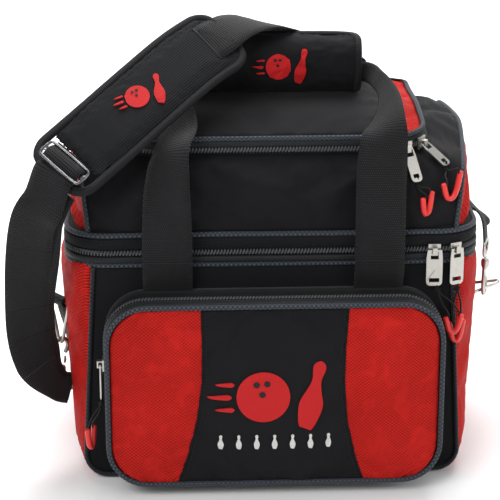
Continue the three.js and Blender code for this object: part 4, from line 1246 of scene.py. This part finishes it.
def grip_flap(section):
    """The sleeve's outer panel: it comes up over the front and its bound edge lies along the top."""
    left, right, proud, r = -82.0, 89.0, 3.4, 15.0
    full = resample(np.column_stack([section, np.zeros(48)]), 240, closed=True)[:, :2]
    angle = np.degrees(np.arctan2(full[:, 1], full[:, 0])) % 360
    order = np.argsort(angle)
    full, angle = full[order], angle[order]
    turn = full[(angle > 94) & (angle < 268)]
    turn = resample(np.column_stack([turn, np.zeros(len(turn))]), 44)[:, :2]
    out = unit(turn)
    lengths = run_length(turn)
    into = np.maximum(np.clip(r - lengths, 0, r), np.clip(r - (lengths[-1] - lengths), 0, r))
    inset = r - quarter(into, r)
    s = np.linspace(0, 1, 40)[:, None]
    middle, half = (left + right) / 2, (right - left) / 2
    X = middle + (2 * s - 1) * (half - inset)[None, :]
    swell = proud + 0.9 * np.sin(np.pi * s) ** 0.5
    P = np.stack([X, turn[None, :, 0] + swell * out[None, :, 0],
                  GRIP_Z + turn[None, :, 1] + swell * out[None, :, 1]], 2)
    uv = np.stack([X, np.broadcast_to(lengths, X.shape)], 2)
    panel("grip_flap_cloth", P, uv, (0, -1, 0), (0.5, 0.012, 2), 3.2, black_cloth, "front_handle")
    edge = np.vstack([P[:, 0], P[-1, 1:], P[::-1, -1][1:], P[0, ::-1][1:-1]])
    edge = resample(edge, 260, closed=True)
    axis = [0, 0, GRIP_Z]
    around = unit(edge * [0, 1, 1] - axis)
    cord_path = edge - 0.4 * around
    dress(tube("grip_flap_binding", cord_path, 3.6, up=around, closed=True, flatten=0.62), binding,
          "front_handle")
    for k, row in enumerate((P[4:-4, 3], P[-4, 4:-3])):
        stitches(f"grip_stitches_{k + 1}", row, unit(row * [0, 1, 1] - axis), "front_handle")


# ---------------------------------------------------------------- shoulder strap

PAD_ACROSS = unit(vec(0.74, -0.47, -0.46))
PAD_WIDTH = vec(0.74, -0.5, -0.42)
ADJUSTER_ALONG = vec(0.72, 0.49, 0.5)
PAD_COUNT = 60
EYE_HALF = 13.5
STRAP_HALF = 22.0
PAD_CONTROLS = [(-207, -148, 322), (-160, -120, 356), (-117, -92, 387), (-78, -64, 413), (-41, -39, 431)]

# The strap's lower ends hang on the ring, hook and eye.
LEFT_CHAIN = (("base", "upper", (-235, -138, 190), (-235, -138, 240)),
              ("base", "left_ring", (-236, -119, 176), (-238, -114, 152)),
              ("left_ring", "left_hook", (-238, -113, 146), (-234, -104, 118)),
              ("left_hook", "left_hook_eye", (-231, -101, 110), (-214, -86, 86)))
RIGHT_CHAIN = (("base", "upper", (215, 70, 231), (152, 152, 281)),
               ("base", "right_ring", (215, 66, 230), (218, 46, 230)),
               ("right_ring", "right_hook", (218, 42, 230), (220, 22, 230)),
               ("right_hook", "right_hook_eye", (221, 18, 229), (225, -4, 224)))


def pad_axes(count):
    path = curve(PAD_CONTROLS, count)
    t = tangents(path)
    across = unit(PAD_ACROSS - t * (t @ PAD_ACROSS)[:, None])
    return path, t, across, np.cross(across, t)


def pad_half(length):
    """The pad's half width at each share of its length, with round corners."""
    half, r = 34.5, 20.0
    s = np.linspace(0, 1, 60)
    into = np.maximum(np.clip(r - s * length, 0, r), np.clip(r - (1 - s) * length, 0, r))
    return half - r + quarter(into, r)


def shoulder_pad():
    path, t, across, up = pad_axes(PAD_COUNT)
    half = pad_half(float(steps(path).sum()))
    w = np.linspace(-1, 1, 26)
    thick = 3.6 * (1 - np.abs(w) ** 6) ** 0.5 + 0.7
    ends = np.sin(np.pi * np.linspace(0.02, 0.98, 60)) ** 0.18
    ends = ends * mix(0.2, 1.0, ease((np.linspace(0, 1, 60) - 0.16) / 0.16))
    layers = [path[:, None, :] + (half[:, None] * w[None, :])[..., None] * across[:, None, :]
              + sign * (ends[:, None] * thick[None, :])[..., None] * up[:, None, :] for sign in (1, -1)]
    section = np.concatenate([layers[0], layers[1][:, ::-1]], 1)
    pad = grid("shoulder_pad_body", section, wrap_j=True, caps=True)
    voxel = 3.2
    modifier = pad.modifiers.new("even", "REMESH")
    modifier.mode = "VOXEL"
    modifier.voxel_size = voxel * MM
    shown = pad.evaluated_get(bpy.context.evaluated_depsgraph_get())
    mesh = bpy.data.meshes.new_from_object(shown)
    pad.modifiers.remove(modifier)
    pad.data = mesh
    cloth(pad, np.zeros(len(mesh.vertices), bool), 3.0, 0.0, 3.0, frames=12)
    mesh.polygons.foreach_set("use_smooth", [True] * len(mesh.polygons))
    mesh = pad.data
    while mesh.uv_layers:
        mesh.uv_layers.remove(mesh.uv_layers[0])
    layer = mesh.uv_layers.new(name="metres")
    long_way, wide_way, origin = unit(path[-1] - path[0]), across[30], path[30]
    for loop in mesh.loops:
        p = np.array(mesh.vertices[loop.vertex_index].co) / MM - origin
        layer.data[loop.index].uv = (float(p @ long_way) * MM, float(p @ wide_way) * MM)
    dress(pad, pad_cloth, "shoulder_strap", ["shoulder_pad"])
    edge = np.vstack([path + half[:, None] * across, (path - half[:, None] * across)[::-1]])
    loop = resample(edge, 200, closed=True)
    band = tube("shoulder_pad_binding", loop, 4.4, up=up[30], sides=10, closed=True, flatten=0.85)
    dress(band, binding, "shoulder_strap")
    sewn, margin, surface = slice(16, -3), 7.5, 4.9
    inset = (half[sewn, None] - margin) * across[sewn]
    row = np.vstack([path[sewn] + inset, (path[sewn] - inset)[::-1]]) + surface * up[30]
    stitches("shoulder_pad_stitches", row, up[30], "shoulder_strap")
    return path, t, across, up, pad


def chained(name, line, wide, half, cuts, chain):
    """Lengths of one webbing, one for each row of the chain, each sharing its end point with the next."""
    edges = [0, *cuts, len(line) - 1]
    for k, (first, second, start, end) in enumerate(chain):
        part = slice(edges[k], edges[k + 1] + 1)
        webbing_band(f"{name}_{k + 1}", line[part], wide[part], half[part],
                     (first, second, metres(*start), metres(*end)))


def strap_left(across):
    """Doubled webbing: down from the adjuster, round the hook's bar and back up inside."""
    along = unit(ADJUSTER_ALONG)
    wide = unit(PAD_WIDTH - along * (PAD_WIDTH @ along))
    lift = np.cross(wide, along)
    frame_centre = vec(-196, -140, 327) + 12 * lift
    weave = ((13, -3.6), (8.5, -3.4), (4.5, 1.0), (0, 2.8), (-4.5, 1.0), (-9, -3.4), (-16, -4.5))
    through = [frame_centre + a * along + b * lift for a, b in weave]
    outer = through + [(-217, -156, 299), (-228, -149, 277), (-234, -137, 240), (-238, -124, 190),
                       (-239, -114, 154), (-235, -106, 126), (-226, -96, 100), (-213, -85, 82),
                       (-202, -78, 76)]
    turns = [wide] * 7 + [(0.84, -0.5, -0.2), (0.93, -0.35, -0.1), (1, -0.1, 0), (1, 0, 0),
                          (0.95, 0.2, 0.05), (0.85, 0.25, 0.3), (0.65, 0.3, 0.6), (0.4, 0.3, 0.85),
                          (0.25, 0.3, 0.9)]
    inner = [(-202, -75, 80), (-212, -82, 86), (-223, -93, 106), (-231, -103, 132), (-234, -112, 160),
             (-233, -121, 195), (-226, -132, 240), (-219, -142, 277), (-211, -149, 299), (-204, -149, 312)]
    inner_turns = [(0.25, 0.3, 0.9), (0.4, 0.3, 0.85), (0.65, 0.3, 0.6), (0.85, 0.25, 0.3),
                   (0.95, 0.2, 0.05), (1, 0, 0), (1, -0.1, 0), (0.9, -0.4, -0.2), (0.82, -0.5, -0.25),
                   across[0]]
    hook_bar = vec(-210, -74, 80)
    split, cut_heights = 246.0, (182, 148, 113)
    for label, controls, widths in (("outer", outer, turns), ("inner", inner, inner_turns)):
        line, wide = webbing_path(controls, widths, 220)
        near_bar = np.linalg.norm(line - hook_bar, axis=1)
        half = mix(EYE_HALF, STRAP_HALF, ease((near_bar - 12) / 45))
        high = line[:, 2] > split
        first, last = int(np.argmax(high)), int(len(high) - 1 - np.argmax(high[::-1]))
        upper_part = slice(first, last + 1)
        lower_part = slice(last, None) if label == "outer" else slice(first, None, -1)
        low = line[lower_part]
        cuts = [int(np.argmax(low[:, 2] < z)) for z in cut_heights]
        chained(f"strap_left_{label}_low", low, wide[lower_part], half[lower_part], cuts, LEFT_CHAIN)
        webbing_band(f"strap_left_{label}_high", line[upper_part], wide[upper_part], half[upper_part],
                     ("upper", "shoulder_strap", metres(-228, -142, 246), metres(-206, -148, 308)),
                     ["strap_left_drop"] if label == "outer" else ())


def strap_right(path, t, across, up):
    on_pad = path[-8] + up[-8] * 6.0
    controls = [on_pad, path[-4] + up[-4] * 6.6, (-33, -32, 438), (-9, -12, 437), (14, 14, 424),
                (32, 50, 400), (54, 96, 364), (84, 134, 330), (114, 148, 298), (150, 152, 282),
                (182, 144, 258), (206, 116, 236), (214, 74, 230), (219, 32, 230), (224, 0, 226),
                (226, -8.4, 200)]
    turns = [across[-1], across[-1], across[-1], (0.7, -0.68, -0.1), (0.8, -0.55, 0.0), (0.85, -0.4, 0.1),
             (0.85, -0.35, 0.2), (0.75, 0.0, 0.55), (0.65, 0.1, 0.75), (0.45, 0.3, 0.85), (0.1, 0.3, 0.95),
             (-0.1, 0.1, 0.98), (-0.1, 0, 0.98), (-0.2, -0.5, 0.7), (-0.29, -0.96, 0.1), (-0.29, -0.96, 0)]
    line, wide = webbing_path(controls, turns, 260)
    hook_bar = vec(226, -8.4, 205)
    end = ease((np.linalg.norm(line - hook_bar, axis=1) - 55) / 50)
    half = mix(EYE_HALF, STRAP_HALF, end)
    cut = int(np.argmax((line[:, 0] > 130) & (line[:, 2] < 330)))
    webbing_band("strap_right_high", line[: cut + 1], wide[: cut + 1], half[: cut + 1],
                 ("shoulder_strap", "upper", metres(84, 134, 330), metres(128, 150, 290)),
                 ["strap_right_webbing"])
    low = line[cut:]
    cuts = [int(np.argmax(low[:, 1] < y)) for y in (68, 44, 20)]
    chained("strap_right_low", low, wide[cut:], half[cut:], cuts, RIGHT_CHAIN)
    k = path[-7] + up[-7] * 8.0
    a, b = 20 * t[-7], 16 * across[-7]
    near, far = [k - b, k + b], [k + b + a, k - b + a]
    corners = [*near, *far, near[0], far[0], near[1], far[1]]
    stitches("strap_anchor_stitches", resample(np.array(corners), 120), up[-7], "shoulder_strap")


def build_strap():
    path, t, across, up, pad = shoulder_pad()
    strap_left(across)
    strap_right(path, t, across, up)
    return pad


# ---------------------------------------------------------------- hardware

WELD_DISTANCE = 0.00001
EDGE_RADIUS = 0.4


def polish(node, finish, kind):
    """Keeps a CAD node and rounds it: welded and subdivided wire, or plate with softened edges."""
    obj = frame["nodes"][node]
    obj.data.materials.clear()
    obj.data.materials.append(finish.material)
    weld = obj.modifiers.new("weld", "WELD")
    weld.merge_threshold = WELD_DISTANCE
    if kind == "wire":
        smooth(obj, 2)
    elif kind == "plate":
        bevel = obj.modifiers.new("edges", "BEVEL")
        bevel.width = EDGE_RADIUS * MM
        bevel.segments = 3
        bevel.limit_method = "ANGLE"
        bevel.angle_limit = math.radians(35)


def build_hardware():
    for side in ("left", "right"):
        for part in ("ring", "hook_gate", "hook_eye", "hook"):
            polish(f"{side}_{part}", nickel, "wire")
        polish(f"{side}_tab", webbing_solid, "cloth")
    polish("slide_adjuster", gunmetal, "wire")
    for name in ("main_left", "main_right", "lid_left", "lid_right", "pocket"):
        polish(f"{name}_slider", nickel, "plate")
        polish(f"{name}_pull", nickel, "plate")
        polish(f"{name}_tube", red_rubber, "wire")
    polish("lower_bottom_panel", black_lining, "plate")
    for node in ("base_board", "upper_floor"):
        polish(node, board, "plate")
    polish("ball_cup", foam, "plate")


def knot(centre, size):
    a = np.linspace(0, 4 * np.pi, 40)
    loops = [np.sin(a) + 0.5 * np.sin(2 * a), np.cos(a) * 0.6, np.sin(1.5 * a) * 0.8]
    return centre + size * np.stack(loops, 1)


def node_points(node):
    return np.array([v.co for v in frame["nodes"][node].data.vertices]) / MM


def tube_ends(node):
    """The two open ends of a rubber tube: its highest points on each side."""
    co = node_points(node)
    halves = [co[(co[:, 0] - co[:, 0].mean()) * side > 0] for side in (-1, 1)]
    return [half[np.argsort(-half[:, 2])[:6]].mean(0) for half in halves]


CORD_BODIES = {"main_left": "main_left_tail", "main_right": "main_right_pull",
               "lid_left": "lid_left_pull", "lid_right": "lid_right_pull", "pocket": "pocket_pull"}


def build_cords():
    for name, body in CORD_BODIES.items():
        co = node_points(f"{name}_pull")
        slot = co[np.argsort(co[:, 2])[:14]].mean(0) + vec(0, 0, 3.5)
        tie = slot + vec(0, -1.5, -8)
        parts = []
        for k, end in enumerate(tube_ends(f"{name}_tube")):
            middle = mix(tie, end, 0.5) + vec(-1.5 if k == 0 else 1.5, -1.0, 1.5)
            line = curve([slot + vec(0, 1.2, 1), tie, middle, end + vec(0, 0, 2), end - vec(0, 0, 3)], 30)
            parts.append(tube(f"{name}_cord_{k}", line, 0.95, up=(0, 1, 0), sides=8))
        parts.append(tube(f"{name}_knot", knot(tie, 1.7), 0.95, up=(0.3, 1, 0.2), sides=8))
        dress(merge(f"{name}_cord", parts), cord, body)


# ---------------------------------------------------------------- embroidery

def pin_outline(height):
    """A tenpin's outline, base at the bottom."""
    share = [0.0, 0.02, 0.12, 0.30, 0.42, 0.56, 0.68, 0.76, 0.84, 0.92, 0.975, 1.0]
    half = [0.075, 0.085, 0.125, 0.158, 0.150, 0.100, 0.066, 0.062, 0.080, 0.086, 0.055, 0.0]
    right = np.stack([np.array(half), np.array(share)], 1) * height
    fine = resample(curve(np.column_stack([right, np.zeros(len(right))]), 40)[:, :2], 34)
    return np.vstack([fine, (fine * [-1, 1])[::-1][1:-1]]) - [0, height / 2]


def streak(x0, x1, y, thick):
    """A tapered bar with a rounded end."""
    t = np.linspace(0, 1, 12)
    half = 0.5 * thick * np.sqrt(t) * np.sqrt(np.maximum(1 - np.maximum(t - 0.85, 0) / 0.15, 0.02))
    lower = np.stack([mix(x0, x1, t), y - half], 1)
    return np.vstack([lower, (lower * [1, -1] + [0, 2 * y])[::-1][:-1]])


def emblem_shapes():
    """A plain bowling badge: a ball rolling in on three streaks, and the pin it has just struck."""
    ball = arc(-12, 0, 28, 0, 351, 44)
    lean = math.radians(-12)
    turn = np.array([[math.cos(lean), math.sin(lean)], [-math.sin(lean), math.cos(lean)]])
    pin = pin_outline(78) @ turn + [40, 1]
    streaks = [streak(-62, -42, 14, 5.5), streak(-70, -45, 0, 6.5), streak(-62, -42, -14, 5.5)]
    holes = [arc(-19 + dx, 8 + dy, 3.4, 0, 330, 12) for dx, dy in ((0, 6), (11, 7), (6, -5))]
    return [ball, pin, *streaks], holes


def flat_patch(name, shapes, scale):
    """Filled outlines laid in the XY plane."""
    bm = bmesh.new()
    for shape in shapes:
        ring = [bm.verts.new((p[0] * scale * MM, p[1] * scale * MM, 0)) for p in shape]
        bm.faces.new(ring)
    bmesh.ops.triangulate(bm, faces=bm.faces[:])
    longest = 4 * MM
    split = [e for e in bm.edges if e.calc_length() > longest]
    bmesh.ops.subdivide_edges(bm, edges=split, cuts=2, use_grid_fill=True)
    bmesh.ops.triangulate(bm, faces=bm.faces[:])
    bmesh.ops.recalc_face_normals(bm, faces=bm.faces[:])
    mesh = bpy.data.meshes.new(name)
    bm.to_mesh(mesh)
    bm.free()
    layer = mesh.uv_layers.new(name="metres")
    for loop in mesh.loops:
        co = mesh.vertices[loop.vertex_index].co
        layer.data[loop.index].uv = (co.x, co.y)
    obj = bpy.data.objects.new(name, mesh)
    scene.collection.objects.link(obj)
    return obj


def press(obj, thick, centre, right, up, target, lift=0.35):
    """Lays a flat patch onto another piece's surface, facing along right x up."""
    right, up = unit(right), unit(up)
    out = np.cross(right, up)
    start_off, reach = 40, 0.054
    tree = BVHTree.FromObject(target, bpy.context.evaluated_depsgraph_get())
    for v in obj.data.vertices:
        p = vec(*centre) + v.co.x / MM * right + v.co.y / MM * up
        hit = tree.ray_cast(Vector((p + start_off * out) * MM), Vector(-out), reach)[0]
        hit = hit or tree.find_nearest(Vector(p * MM))[0]
        p = np.array(hit) / MM
        v.co = (p + lift * out) * MM
    obj.data.update()
    face(obj, out)
    return solid(obj, thick, 1.0)


def embroider(name, shapes, scale, thick, spot, finish, body):
    """One piece of embroidery; spot is its centre, its right and up directions, and what it lies on."""
    dress(press(flat_patch(name, shapes, scale), thick, *spot), finish, body)


def emblem(name, spot, scale, body):
    shapes, holes = emblem_shapes()
    for k, shape in enumerate(shapes):
        embroider(f"{name}_part_{k + 1}", [shape], scale, 1.1 + 0.2 * k, spot, red_thread, body)
    embroider(f"{name}_finger_holes", holes, scale, 1.6, spot, dark_thread, body)


def build_embroidery(pad):
    objects = bpy.data.objects
    bpy.context.view_layer.update()
    flap = objects["pocket_centre_cloth"]
    across, upright = (1, 0, 0), (0, 0, 1)
    emblem("pocket_emblem", ((-1, FLAP_Y, 109), across, upright, flap), 0.92, "pocket_flap")
    row = [pin_outline(15) * [1.15, 1] + [x, 0] for x in np.linspace(-52, 52, 7)]
    spot = ((-1, FLAP_Y, 62), across, upright, flap)
    embroider("pocket_pin_row", row, 1.0, 1.0, spot, white_thread, "base")
    spot = ((15, -24, GRIP_Z), across, (0, 0.2, 1), objects["grip_flap_cloth"])
    emblem("grip_emblem", spot, 0.44, "front_handle")
    path, t, side, up = pad_axes(PAD_COUNT)
    along = unit(0.93 * t[30] + 0.37 * side[30])
    spot = (path[30] + up[30] * 4, along, np.cross(up[30], along), pad)
    emblem("pad_emblem", spot, 0.42, "shoulder_strap")


# ---------------------------------------------------------------- stage

def build_stage():
    def plain(name, colour, roughness):
        material = bpy.data.materials.new(name)
        material.use_nodes = True
        shader = material.node_tree.nodes["Principled BSDF"]
        shader.inputs["Base Color"].default_value = (*colour, 1)
        shader.inputs["Roughness"].default_value = roughness
        return material

    profile = ((-3.0, 0), (0.4, 0), (1.6, 0), (2.2, 0.15), (2.5, 0.6), (2.6, 1.6), (2.6, 4.0))
    rows = [[(x, y, z) for x in np.linspace(-5, 5, 12)] for y, z in profile]
    sweep = grid("studio_sweep", np.array(rows) / MM, outward=(0, 0, 1))
    smooth(sweep, 2)
    sweep.data.materials.append(plain("studio_paper", (0.86, 0.86, 0.86), 0.9))

    world = bpy.data.worlds.new("studio")
    scene.world = world
    world.use_nodes = True
    background = world.node_tree.nodes["Background"]
    background.inputs["Color"].default_value = (1.0, 1.0, 1.0, 1)
    background.inputs["Strength"].default_value = 0.5

    def area(name, place, target, size, power):
        light = bpy.data.lights.new(name, "AREA")
        light.size = size
        light.energy = power
        obj = bpy.data.objects.new(name, light)
        obj.location = place
        obj.rotation_euler = (Vector(target) - Vector(place)).to_track_quat("-Z", "Y").to_euler()
        scene.collection.objects.link(obj)

    area("key", (-1.1, -1.7, 1.7), (0, 0, 0.2), 1.1, 30)
    area("fill", (1.7, -1.2, 0.9), (0, 0, 0.2), 1.3, 12)
    area("top", (0.1, 0.5, 2.1), (0, 0, 0.3), 1.4, 20)
    area("backdrop_wash", (0, 0.9, 2.6), (0, 2.4, 0.8), 2.2, 90)

    camera = bpy.data.cameras.new("camera")
    camera.lens = 139.7
    camera.sensor_width = 36
    holder = bpy.data.objects.new("camera", camera)
    azimuth, elevation, distance = math.radians(-2.5), math.radians(19), 2.0
    back = Vector((math.sin(azimuth) * math.cos(elevation), -math.cos(azimuth) * math.cos(elevation),
                   math.sin(elevation)))
    looked_at = metres(-17, 0, 196)
    holder.location = Vector(looked_at) + back * distance
    holder.rotation_euler = (-back).to_track_quat("-Z", "Y").to_euler()
    scene.collection.objects.link(holder)
    scene.camera = holder
    scene.view_settings.view_transform = "Standard"


webbing_solid = webbing_finish("webbing_tab", "webbing", (0.0060, 0.0062, 0.0070), flat_uv=False)

build_lower()
build_rim()
build_upper()
build_lid()
build_pocket()
build_handles()
pad_piece = build_strap()
build_hardware()
build_cords()
build_embroidery(pad_piece)
build_stage()
